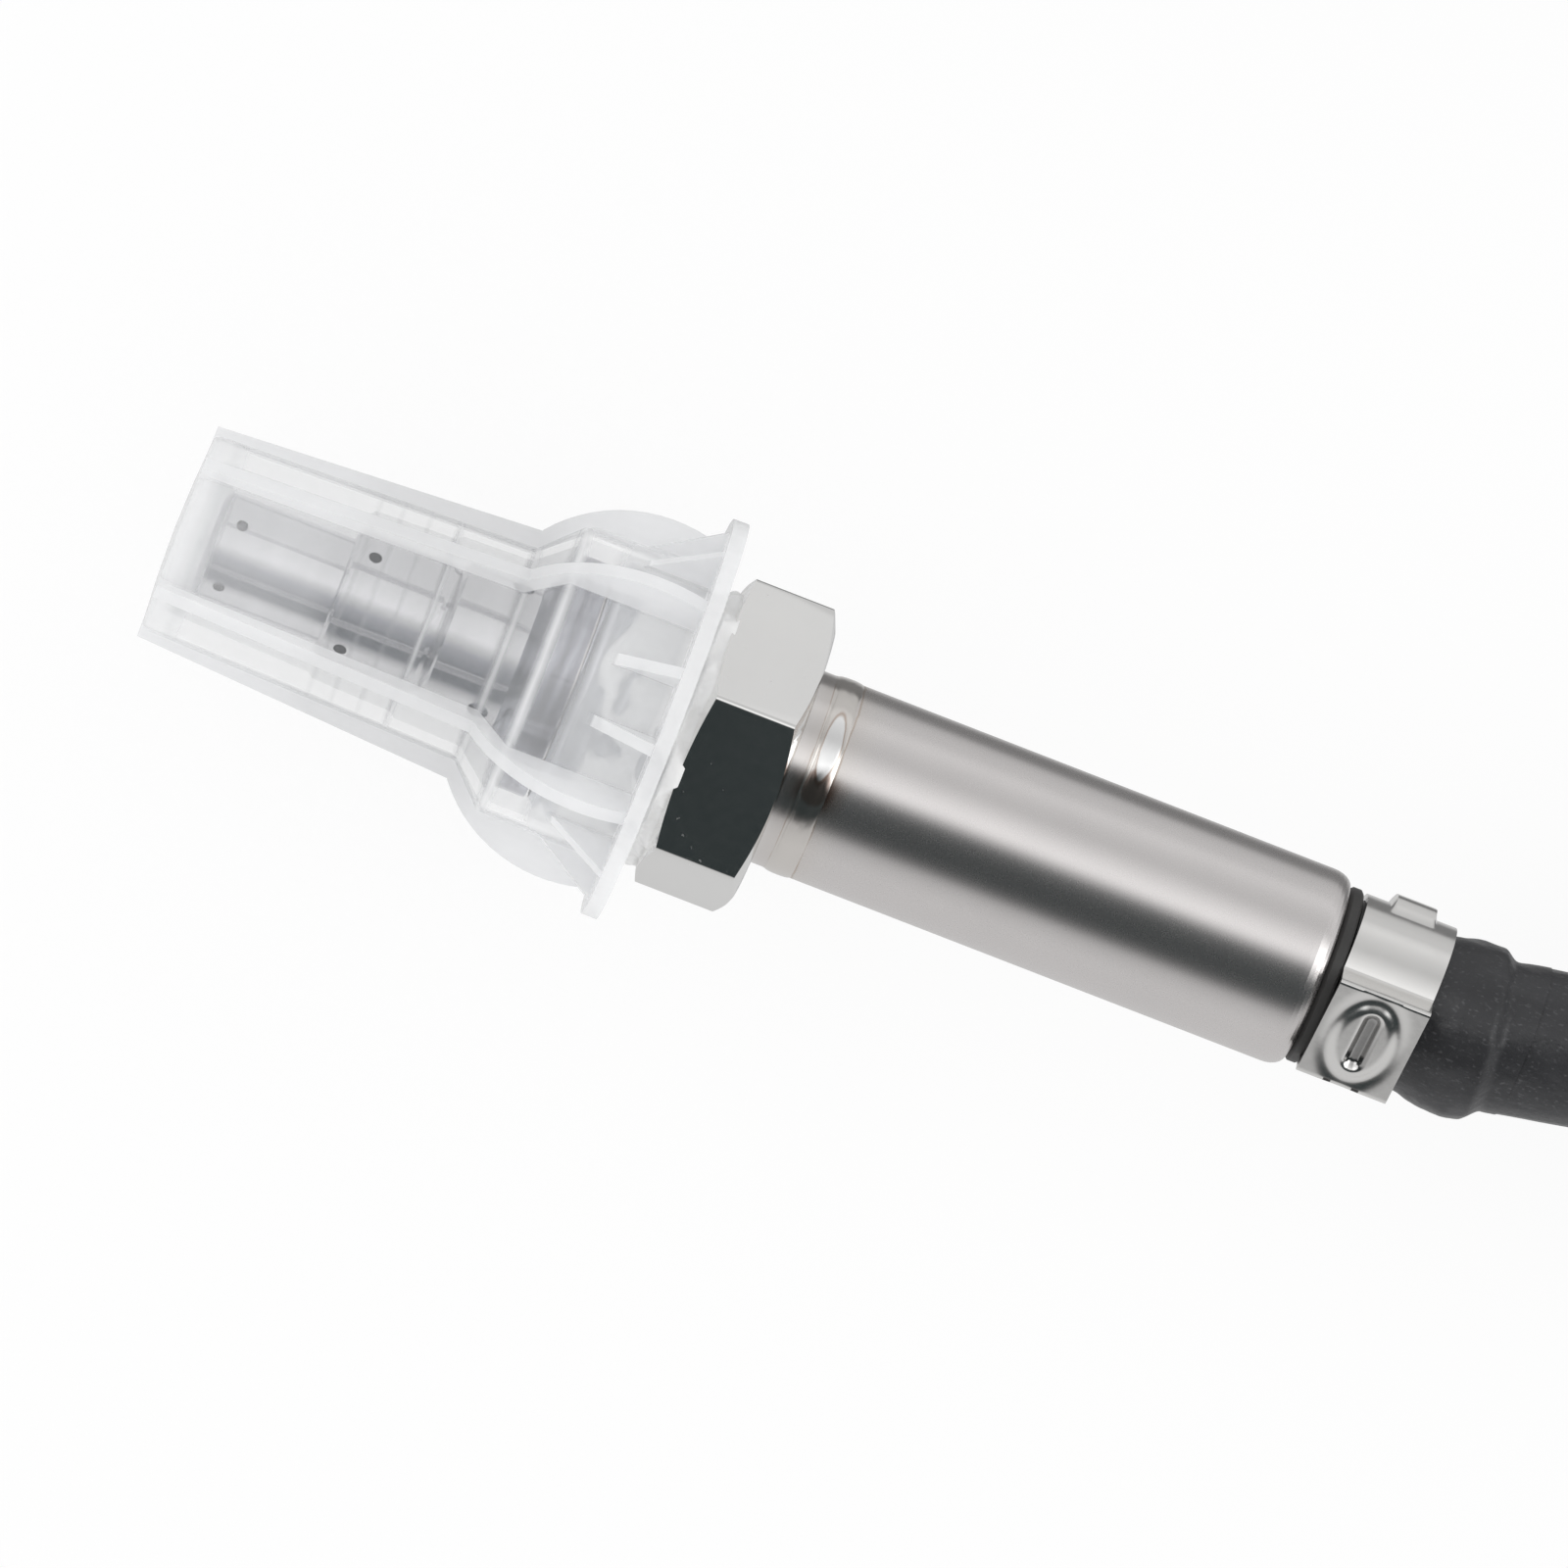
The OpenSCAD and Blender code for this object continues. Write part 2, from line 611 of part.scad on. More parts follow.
module inner_protection_tube() {
    color([0.7, 0.68, 0.64]) difference() {
        turned(concat(
            [[0, inner_tube_front]],
            arc(inner_tube_r - tube_round, inner_tube_front + tube_round, tube_round, -90, 0, 5),
            [[inner_tube_r, cone_front], [inner_tube_bore_r, cone_front]],
            arc(inner_tube_r - tube_round, inner_tube_front + tube_round, tube_round - tube_wall, 0, -90, 5),
            [[0, inner_tube_front + tube_wall]]));
        tube_holes(inner_holes, inner_hole_turn, inner_tube_front + inner_hole_at, inner_hole_r);
    }
}

// The flat bar of the sensing element, with an even gap added all round
module element_bar(from, to, play) {
    translate([from, -element_w / 2 - play, -element_t / 2 - play])
        cube([to - from, element_w + 2 * play, element_t + 2 * play]);
}

module sensing_element() {
    color([0.93, 0.92, 0.88]) element_bar(element_front, element_back, 0);
}

// A ceramic cylinder in the housing with the slot for the sensing element
module slotted_plug(from, to, r) {
    difference() {
        rod(from, to, r);
        element_bar(from - 1, to + 1, element_play);
    }
}

module front_insulator() color([0.92, 0.9, 0.85]) slotted_plug(ceramics_front, talc_front, ceramics_r);

module talc_packing() color([0.85, 0.86, 0.84]) slotted_plug(talc_front, rear_front, ceramics_r);

module rear_insulator() color([0.92, 0.9, 0.85]) slotted_plug(rear_front, retainer_front, ceramics_r);

module retaining_ring() {
    color([0.6, 0.6, 0.58]) difference() {
        rod(retainer_front, retainer_front + retainer_len, ceramics_r);
        rod(retainer_front - 1, retainer_front + retainer_len + 1, ceramics_r - 2);
    }
}

module weld_bead() {
    color([0.62, 0.55, 0.47]) turned([
        [stem_r - sleeve_wall, bead_front], [stem_r, bead_front],
        for (a = [-60:20:60]) [stem_r + weld_h * cos(a), neck_back + weld_w / 2 * sin(a)],
        [stem_r, bead_back], [stem_r - sleeve_wall, bead_back]]);
}

module sleeve() {
    color([0.75, 0.74, 0.72]) turned(concat(
        [[sleeve_bore_r, bead_back], [sleeve_r, bead_back]],
        [for (a = [0:15:90])
            [sleeve_r - sleeve_drop * (1 - cos(a)), sleeve_back - sleeve_round * (1 - sin(a))]],
        [[sleeve_mouth_r, sleeve_back], [sleeve_mouth_r - 0.3, sleeve_back - sleeve_wall],
            [sleeve_bore_r - 0.9, sleeve_back - sleeve_wall - 0.15],
            [sleeve_bore_r, sleeve_back - sleeve_round]]));
}

module contact_holder() {
    // Room for the springs above and below the element
    spring_room = 1.5;
    color([0.9, 0.88, 0.83]) difference() {
        rod(holder_front, element_back + 1, holder_r);
        element_bar(holder_front - 1, element_back + 2, element_play);
        translate([holder_front - 1, -element_w / 2 - 2 * element_play, -element_t / 2 - spring_room])
            cube([holder_len + 3, element_w + 4 * element_play, element_t + 2 * spring_room]);
    }
}

// Contact springs on both faces of the element, half of them on each
module contacts() {
    row = wire_count / 2;
    step = (element_w - contact_w) / (row - 1);
    color([0.8, 0.72, 0.45]) for (side = [-1, 1]) for (i = [0:row - 1]) {
        y = -element_w / 2 + contact_w / 2 + i * step;
        z = side * (element_t / 2 + contact_t / 2);
        translate([contact_front, y - contact_w * 0.35, z - contact_t / 2])
            cube([contact_len, contact_w * 0.7, contact_t]);
    }
}

module lead_wires() {
    color([0.75, 0.75, 0.72]) around(wire_count, 360 / wire_count / 2)
        rod(contact_back + 0.2, wires_back, wire_r, 0, wire_ring_r);
}

module cable_grommet() {
    color([0.1, 0.1, 0.1]) difference() {
        turned([[0, grommet_front], [sleeve_bore_r - 0.9, grommet_front],
            [sleeve_bore_r - 0.1, grommet_front + 1], [sleeve_bore_r - 0.1, sleeve_back - sleeve_round - 0.2],
            [sleeve_mouth_r - 0.6, sleeve_back - sleeve_wall - 0.3], [sleeve_mouth_r - 0.6, ring_front],
            [grommet_ring_r - 0.3, ring_front], [grommet_ring_r, ring_front + 0.3],
            [grommet_ring_r, ring_back - 0.2], [grommet_ring_r - 0.2, ring_back],
            [grommet_nose_r, ring_back], [grommet_nose_r, ring_back + grommet_nose_len - 0.6],
            [grommet_nose_r - 0.6, ring_back + grommet_nose_len], [0, ring_back + grommet_nose_len]]);
        around(wire_count, 360 / wire_count / 2)
            rod(grommet_front - 1, ring_back + grommet_nose_len + 1, wire_r + 0.05, 0, wire_ring_r);
    }
}

module ear_outline(inset) {
    h = ear_h - inset;
    w = ear_w / 2 - inset;
    polygon(concat(
        [[-w - 0.7, band_r - band_t - 1.6]], [[-w - 0.7, band_r - band_t - 0.5]],
        arc(-w + 0.5, h - 0.5, 0.5, 170, 90, 3),
        arc(w - 0.5, h - 0.5, 0.5, 90, 10, 3), [[w + 0.2, band_r - band_t - 1.6]]));
}

// A long oval block on the top of the ear
module ear_oval(r, from, h) {
    translate([band_w / 2, 0, from]) {
        translate([-r, -slot_half, 0]) cube([2 * r, 2 * slot_half, h]);
        for (side = [-1, 1]) translate([0, side * slot_half, 0]) cylinder(h = h, r = r);
    }
}

// The pinched ear of the clamp, open at both ends, with an oval ridge and a slot pressed into its top
module clamp_ear() {
    difference() {
        union() {
            rotate([90, 0, 90]) linear_extrude(band_w) ear_outline(0);
            ear_oval(ridge_r, ear_h - band_t / 2, ridge_h + band_t / 2);
        }
        translate([-1, 0, 0]) rotate([90, 0, 90]) linear_extrude(band_w + 2) ear_outline(band_t);
        ear_oval(slot_r, ear_h + ridge_h - slot_depth, 1);
    }
}

module ear_clamp() {
    bore_r = band_r - band_t;
    band_middle = band_front + band_w / 2;
    color([0.74, 0.73, 0.71]) difference() {
        union() {
            difference() {
                rod(band_front, band_back, band_r);
                rotate([ear_turn, 0, 0]) translate([band_front - 1, -ear_w / 2 + band_t, 0])
                    cube([band_w + 2, ear_w - 2 * band_t, ear_h]);
            }
            rotate([ear_turn, 0, 0]) translate([band_front, 0, 0]) clamp_ear();
            rotate([tongue_turn, 0, 0]) intersection() {
                difference() {
                    rod(band_middle - tongue_w / 2, band_middle + tongue_w / 2, band_r + tongue_h);
                    rod(band_front - 1, band_back + 1, band_r - band_t / 2);
                }
                translate([band_front, 0, 0]) rotate([90, 0, 90]) linear_extrude(band_w)
                    polygon([[0, 0], [-12 * sin(tongue_span / 2), 12], [12 * sin(tongue_span / 2), 12]]);
            }
        }
        rod(band_front - 1, band_back + 1, bore_r);
    }
}

module cable_cover_end() {
    front_r = band_r - band_t - snug;
    wires_bore_r = wire_ring_r + wire_r + 0.3;
    nose_back = ring_back + grommet_nose_len + 0.1;
    color([0.13, 0.13, 0.14]) turned([
        [cover_bore_r, ring_back + 0.1], [front_r, ring_back + 0.1], [front_r, band_back],
        [swell_r - 0.5, band_back + 0.7], [swell_r, band_back + 2.6], [swell_r - 0.1, cover_back - 1.6],
        [cable_r + 0.25, cover_back], [wires_bore_r, cover_back], [wires_bore_r, nose_back],
        [cover_bore_r, nose_back]]);
}

module cable() color([0.13, 0.13, 0.14]) swept(cable_route, cable_r, cable_sides);

// A slab of the control unit with round corners, placed by its lowest height
module slab(l, w, r, from, to)
    translate([unit_x, unit_y, from]) linear_extrude(to - from) polygon(round_box(l, w, r));

module at_posts(z)
    for (i = [-1, 1]) for (j = [-1, 1]) translate([unit_x + i * post_x, unit_y + j * post_y, z]) children();

module at_bushes(z) for (j = [-1, 1]) translate([unit_x, unit_y + j * ear_spacing / 2, z]) children();

module shroud_block(l, w, h, from) translate([from, unit_y - w / 2, pins_z - h / 2]) cube([l, w, h]);

// A stiffening rib on top of the housing, counted from the first
module top_rib(i) {
    rib_l = unit_l - 2 * unit_corner;
    across = (i - (top_ribs - 1) / 2) * top_rib_step - top_rib_w / 2;
    translate([unit_x - rib_l / 2, unit_y + across, roof_z - eps]) cube([rib_l, top_rib_w, top_rib_h + eps]);
}

// The mounting ears, each joined to its side of the housing
module mounting_ears() {
    reach = ear_spacing / 2 - unit_w / 2 + unit_wall;
    at_bushes(floor_z) cylinder(h = mount_ear_t, r = mount_ear_r);
    for (j = [-1, 1]) translate([unit_x, unit_y + j * (ear_spacing - reach) / 2, floor_z + mount_ear_t / 2])
        cube([2 * mount_ear_r, reach, mount_ear_t], center = true);
}

module unit_housing() {
    inner_l = unit_l - 2 * unit_wall;
    inner_w = unit_w - 2 * unit_wall;
    // Collar round the root of the gland
    collar_l = 3;
    seat = 0.8;
    // Nub on the shroud that the plug's latch holds
    latch_w = 6;
    color([0.12, 0.12, 0.13]) difference() {
        union() {
            slab(unit_l, unit_w, unit_corner, housing_z, roof_z - 1);
            slab(unit_l - 2, unit_w - 2, unit_corner - 1, roof_z - 1 - eps, roof_z);
            for (i = [0:top_ribs - 1]) top_rib(i);
            difference() {
                mounting_ears();
                slab(unit_l + 0.6, unit_w + 0.6, unit_corner, floor_z - 1, housing_z);
            }
            rod(unit_back - unit_wall, unit_back + collar_l, gland_root_r + 1.6, unit_y, cable_z);
            difference() {
                shroud_block(shroud_l + unit_wall, shroud_w, shroud_h, shroud_front);
                shroud_block(shroud_l, shroud_w - 2 * shroud_wall, shroud_h - 2 * shroud_wall,
                    shroud_front - eps);
            }
            translate([shroud_front + 3, unit_y - latch_w / 2, pins_z + shroud_h / 2 - eps])
                cube([5, latch_w, shroud_wall]);
        }
        difference() {
            slab(inner_l, inner_w, unit_corner - unit_wall, housing_z - 1, roof_z - unit_wall);
            at_posts(housing_z - 2) cylinder(h = unit_h, r = post_r);
        }
        at_posts(housing_z - 1) cylinder(h = screw_len - base_t + 1, r = screw_r + snug);
        at_bushes(floor_z - 1) cylinder(h = mount_ear_t + 2, r = bush_r + snug);
        rod(unit_back - unit_wall - 1, unit_back + 1, gland_neck_r + eps, unit_y, cable_z);
        rod(unit_back + seat, unit_back + collar_l + 1, gland_root_r + eps, unit_y, cable_z);
        at_pins() translate([unit_front - 1, -pin_w / 2 - snug, pins_z - pin_t / 2 - snug])
            cube([unit_wall + 2, pin_w + 2 * snug, pin_t + 2 * snug]);
    }
}

module base_plate() {
    // Feet under the board, set in from the screw posts
    foot_in = 9;
    foot_r = 2.5;
    screw_play = 0.1;
    color([0.7, 0.71, 0.72]) difference() {
        union() {
            slab(unit_l, unit_w, unit_corner, floor_z, floor_z + base_t);
            for (i = [-1, 1]) for (j = [-1, 1])
                translate([unit_x + i * (post_x - foot_in), unit_y + j * (post_y - foot_in), floor_z + eps])
                    cylinder(h = base_t + board_lift - eps, r = foot_r);
        }
        at_posts(floor_z - 1) cylinder(h = base_t + 2, r = screw_r + screw_play);
        at_posts(floor_z - eps) cylinder(h = screw_sink + 2 * eps, r = screw_head_r + screw_play);
        at_posts(floor_z + screw_sink)
            cylinder(h = screw_head_r - screw_r, r1 = screw_head_r + screw_play, r2 = screw_r + screw_play);
    }
}

module unit_seal() {
    color([0.15, 0.15, 0.15]) difference() {
        slab(unit_l - 0.4, unit_w - 0.4, unit_corner, floor_z + base_t, housing_z);
        slab(unit_l - 0.4 - 2 * seal_w, unit_w - 0.4 - 2 * seal_w, unit_corner - seal_w, floor_z, unit_top);
    }
}

module cover_screws() {
    color([0.65, 0.65, 0.66]) at_posts(floor_z + screw_sink) {
        difference() {
            union() {
                cylinder(h = screw_len - 0.3, r = screw_r);
                cylinder(h = screw_head_r - screw_r, r1 = screw_head_r, r2 = screw_r);
            }
            for (a = [0, 90]) rotate([0, 0, a]) translate([-1.6, -0.35, -1]) cube([3.2, 0.7, 1.8]);
        }
    }
}

module mounting_bushes() {
    color([0.75, 0.75, 0.74]) at_bushes(floor_z) difference() {
        cylinder(h = mount_ear_t, r = bush_r);
        translate([0, 0, -1]) cylinder(h = mount_ear_t + 2, r = bolt_hole_r);
    }
}

module circuit_board() {
    color([0.1, 0.35, 0.2]) difference() {
        slab(board_l, board_w, 2, board_z, board_top);
        at_posts(board_z - 1) cylinder(h = board_t + 2, r = post_r + 0.8);
    }
}

// Parts soldered on the board, placed by shares of the board from its middle
module on_board(across, along)
    translate([unit_x + across * board_l, unit_y + along * board_w, board_top]) children();

module chip(side) translate([-side / 2, -side / 2, 0]) cube([side, side, chip_t]);

module board_components() {
    chips = [[-0.07, -0.25], [0.16, -0.27], [-0.35, 0.05], [0.16, 0.38]];
    cans = [[-0.27, -0.34], [-0.15, 0.38], [0.33, -0.37]];
    color([0.16, 0.16, 0.18]) {
        on_board(0, 0.11) chip(processor_w);
        for (place = chips) on_board(place[0], place[1]) chip(chip_w);
        for (place = cans) on_board(place[0], place[1]) cylinder(h = can_h, r = can_r);
    }
}

module wire_joint() {
    color([0.85, 0.83, 0.78])
        translate([joint_back - joint_block_l, unit_y - joint_block_w / 2, board_top])
            cube([joint_block_l, joint_block_w, cable_z + wire_ring_r + 2 - board_top]);
}

module unit_wires() {
    color([0.75, 0.75, 0.72]) translate([0, unit_y, cable_z]) around(wire_count, 360 / wire_count / 2)
        rod(joint_back, unit_back - unit_wall - 1, wire_r, 0, wire_ring_r);
}

// Copies at each pin of the connector
module at_pins()
    for (i = [0:pin_count - 1]) translate([0, unit_y + (i - (pin_count - 1) / 2) * pin_step, 0]) children();

// Bent pins: each lies in the wall of the shroud and turns down to the board
module connector_pins() {
    tip = unit_front - pin_reach;
    bend = unit_front + unit_wall + 4;
    color([0.8, 0.75, 0.6]) at_pins() {
        translate([tip, -pin_w / 2, pins_z - pin_t / 2]) cube([bend - tip, pin_w, pin_t]);
        translate([bend - pin_t, -pin_w / 2, board_top]) cube([pin_t, pin_w, pins_z - board_top + pin_t / 2]);
    }
}

module cable_gland() {
    bore_r = cable_r + gland_play;
    lip = 1.2;
    seat = 0.8;
    color([0.1, 0.1, 0.1]) translate([0, unit_y, cable_z]) turned([
        [bore_r, unit_back - unit_wall], [gland_neck_r, unit_back - unit_wall],
        [gland_neck_r, unit_back + seat], [gland_root_r, unit_back + seat], [gland_root_r, unit_back + 4],
        [gland_tip_r + 0.4, unit_back + gland_len - lip], [gland_tip_r, unit_back + gland_len],
        [bore_r, unit_back + gland_len]]);
}

protective_cap();
swivel_nut();
probe_housing();
outer_protection_tube();
inner_protection_tube();
sensing_element();
front_insulator();
talc_packing();
rear_insulator();
retaining_ring();
weld_bead();
sleeve();
contact_holder();
contacts();
lead_wires();
cable_grommet();
ear_clamp();
cable_cover_end();
cable();
unit_housing();
base_plate();
unit_seal();
cover_screws();
mounting_bushes();
circuit_board();
board_components();
wire_joint();
unit_wires();
connector_pins();
cable_gland();
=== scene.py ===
"""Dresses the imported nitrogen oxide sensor: finishes for the CAD nodes, and finer pieces where they show.

Sizes are in millimetres in the classes and become metres where a mesh is made. The probe's axis is X,
running from the cap towards the cable, and turns about it are measured from the top towards -Y.
"""

from __future__ import annotations

import json
import logging
import math
from abc import ABC, abstractmethod
from contextlib import contextmanager
from dataclasses import dataclass
from enum import Enum
from functools import cache
from typing import Any, Iterator, Sequence

import bmesh
import bpy
from mathutils import Matrix, Vector, noise

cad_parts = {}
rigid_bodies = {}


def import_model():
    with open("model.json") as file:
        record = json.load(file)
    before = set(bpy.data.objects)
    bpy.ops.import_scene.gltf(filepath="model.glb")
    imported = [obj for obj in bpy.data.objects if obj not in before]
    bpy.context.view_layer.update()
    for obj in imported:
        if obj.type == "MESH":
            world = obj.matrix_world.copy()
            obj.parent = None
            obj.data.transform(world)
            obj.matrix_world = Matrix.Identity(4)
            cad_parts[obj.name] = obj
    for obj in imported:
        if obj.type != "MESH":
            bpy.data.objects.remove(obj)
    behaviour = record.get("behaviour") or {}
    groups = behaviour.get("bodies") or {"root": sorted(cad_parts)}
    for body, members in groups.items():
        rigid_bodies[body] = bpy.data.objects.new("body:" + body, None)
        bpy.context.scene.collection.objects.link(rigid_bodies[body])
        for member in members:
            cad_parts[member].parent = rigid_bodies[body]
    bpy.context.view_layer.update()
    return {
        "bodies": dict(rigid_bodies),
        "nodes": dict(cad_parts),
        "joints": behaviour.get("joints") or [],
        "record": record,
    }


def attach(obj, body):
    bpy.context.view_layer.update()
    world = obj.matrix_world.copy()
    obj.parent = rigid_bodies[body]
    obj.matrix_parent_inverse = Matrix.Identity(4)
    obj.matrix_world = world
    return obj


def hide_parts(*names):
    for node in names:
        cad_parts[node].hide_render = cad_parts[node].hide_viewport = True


log = logging.getLogger("sensor_scene")

MM = 0.001
WHITE = (1.0, 1.0, 1.0)
Pair = tuple[float, float]
Triple = tuple[float, float, float]
Four = tuple[float, float, float, float]
Stops = tuple[tuple[float, Any], ...]
Piece = bpy.types.Object
Socket = bpy.types.NodeSocket


class Body(Enum):
    """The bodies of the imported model."""

    SENSOR = "sensor_body"
    NUT = "nut_and_cap"


class Grain(Enum):
    """Which way the fine marks of a surface run, as pattern scales per metre along X, Y and Z."""

    EVEN = (1.0, 1.0, 1.0)
    LENGTHWISE = (0.05, 1.0, 1.0)
    ROUND = (1.0, 0.06, 0.06)


class Nodes:
    """Builds the node tree of a material or of the surroundings with short calls."""

    def __init__(self, owner: bpy.types.Material | bpy.types.World) -> None:
        """Starts on the owner's own nodes.

        Args:
            owner: a new material, or a new world.
        """
        owner.use_nodes = True
        self.owner = owner
        self.tree = owner.node_tree
        self.surface = self.tree.nodes.get("Principled BSDF") or self.tree.nodes.get("Background")
        kind = "Object" if isinstance(owner, bpy.types.Material) else "Generated"
        self.place = self.add("TexCoord").outputs[kind]

    def add(self, kind: str, inputs: dict[Any, Any] | None = None, **settings: Any) -> bpy.types.Node:
        """Adds a node and sets or links its inputs.

        Args:
            kind: the node's type name after ShaderNode.
            inputs: values or sockets by input name or number.
            settings: the node's own properties.

        Returns:
            The new node.
        """
        node = self.tree.nodes.new("ShaderNode" + kind)
        for key, value in settings.items():
            setattr(node, key, value)
        for key, value in (inputs or {}).items():
            self.feed(node, key, value)
        return node

    def feed(self, node: bpy.types.Node, key: str | int, value: Any) -> None:
        """Sets an input to a value, or links it to a socket.

        Args:
            node: the node.
            key: name or number of its input.
            value: the value or socket.
        """
        if isinstance(value, Socket):
            self.tree.links.new(value, node.inputs[key])
        else:
            node.inputs[key].default_value = value

    def set(self, **inputs: Any) -> None:
        """Sets the surface's inputs; an underscore in a name stands for a space."""
        for key, value in inputs.items():
            self.feed(self.surface, key.replace("_", " "), value)

    def cloud(self, scale: Sequence[float], detail: float = 4.0, rough: float = 0.5) -> Socket:
        """Returns a noise pattern.

        Args:
            scale: lumps per metre along each axis.
            detail: octaves of finer noise.
            rough: strength of the finer noise.

        Returns:
            A value round 0.5.
        """
        where = self.add("Mapping", {"Vector": self.place, "Scale": scale}).outputs[0]
        inputs = {"Vector": where, "Scale": 1.0, "Detail": detail, "Roughness": rough}
        return self.add("TexNoise", inputs).outputs[0]

    def remap(self, value: Socket, low: float, high: float, to_low: float = 0.0, to_high: float = 1.0,
              smooth: bool = False) -> Socket:
        """Returns a value moved from one range to another, held at the ends.

        Args:
            value: the value.
            low: start of its range.
            high: end of its range.
            to_low: start of the new range.
            to_high: end of the new range.
            smooth: whether it moves softly.

        Returns:
            The moved value.
        """
        kind = "SMOOTHSTEP" if smooth else "LINEAR"
        inputs = {"Value": value, "From Min": low, "From Max": high, "To Min": to_low, "To Max": to_high}
        return self.add("MapRange", inputs, interpolation_type=kind).outputs[0]

    def spread(self, pattern: Socket, low: float = 0.0, high: float = 1.0) -> Socket:
        """Returns a noise pattern with its usual range, 0.3 to 0.7, spread over another."""
        return self.remap(pattern, 0.3, 0.7, low, high)

    def step(self, length: Socket, start: float, end: float) -> Socket:
        """Returns 0 for lengths up to the start, 1 from the end on, both in millimetres, and a slope between."""
        return self.remap(length, start * MM, end * MM)

    def calc(self, kind: str, first: Any, second: Any) -> Socket:
        """Returns the result of a Math node."""
        return self.add("Math", {0: first, 1: second}, operation=kind).outputs[0]

    def product(self, first: Any, second: Any) -> Socket:
        """Returns the product of two values."""
        return self.calc("MULTIPLY", first, second)

    def gap(self, first: Any, second: Any) -> Socket:
        """Returns how far two values are apart."""
        return self.calc("ABSOLUTE", self.calc("SUBTRACT", first, second), 0.0)

    def squares(self, first: Socket, second: Socket) -> Socket:
        """Returns the sum of the squares of two values."""
        return self.calc("ADD", self.product(first, first), self.product(second, second))

    def blend(self, factor: Any, first: Any, second: Any, kind: str = "MIX") -> Socket:
        """Returns a mix of two colours, in one of the Mix node's ways."""
        inputs = {0: factor, 6: opaque(first), 7: opaque(second)}
        return self.add("Mix", inputs, data_type="RGBA", blend_type=kind).outputs[2]

    def times(self, first: Any, second: Any) -> Socket:
        """Returns one colour multiplied by another."""
        return self.blend(1.0, first, second, "MULTIPLY")

    def ramp(self, factor: Socket, stops: Sequence[tuple[float, Any]]) -> Socket:
        """Returns a colour or grey picked from stops.

        Args:
            factor: the place on the ramp, 0 to 1.
            stops: places, each with a grey or a colour.

        Returns:
            The colour socket.
        """
        node = self.add("ValToRGB", {"Fac": factor})
        elements = node.color_ramp.elements
        while len(elements) < len(stops):
            elements.new(1.0)
        for element, (place, value) in zip(elements, stops):
            element.position = place
            element.color = opaque(value if isinstance(value, tuple) else (value,) * 3)
        return node.outputs[0]

    def along(self, axis: int) -> Socket:
        """Returns one of the object's coordinates, in metres."""
        return self.add("SeparateXYZ", {0: self.place}).outputs[axis]

    def turn(self) -> Socket:
        """Returns the turn about the probe's axis, in radians."""
        return self.calc("ARCTAN2", self.product(self.along(1), -1.0), self.along(2))

    def near_turn(self, turn: float, radius: float, low: float, high: float) -> Socket:
        """Returns how near a place is to a turn about the probe's axis, from 0 to 1.

        Args:
            turn: the turn in degrees.
            radius: radius of the surface.
            low: cosine of the angle from the turn at which the value starts.
            high: cosine at which it is 1.

        Returns:
            The nearness.
        """
        angle = math.radians(turn)
        down = self.product(self.along(1), -math.sin(angle) / (radius * MM))
        up = self.product(self.along(2), math.cos(angle) / (radius * MM))
        return self.remap(self.calc("ADD", down, up), low, high, smooth=True)

    def metal_ray(self) -> Socket:
        """Returns 1 for light that bare metal reflects, also through the cap, and 0 for all other rays.

        Returns:
            A socket of 1 or 0.
        """
        rays = self.add("LightPath").outputs
        mirrored = self.calc("GREATER_THAN", rays["Glossy Depth"], 0.5)
        return self.product(mirrored, self.calc("LESS_THAN", rays["Diffuse Depth"], 0.5))

    def through_plastic(self) -> Socket:
        """Returns 1 for rays that have gone through the cap, and 0 for all others."""
        return self.calc("GREATER_THAN", self.add("LightPath").outputs["Transparent Depth"], 0.5)

    def relief(self, *layers: tuple[Socket, float]) -> None:
        """Adds bump to the surface.

        Args:
            layers: height patterns, each with its depth in millimetres.
        """
        below: dict[str, Socket] = {}
        for height, depth in layers:
            node = self.add("Bump", {"Height": height, "Distance": depth * MM, "Strength": 1.0, **below})
            below = {"Normal": node.outputs[0]}
        self.set(**below)


def opaque(colour: Any) -> Any:
    """Returns a colour with full opacity, or a socket as it is."""
    return colour if isinstance(colour, Socket) else (*colour, 1.0)


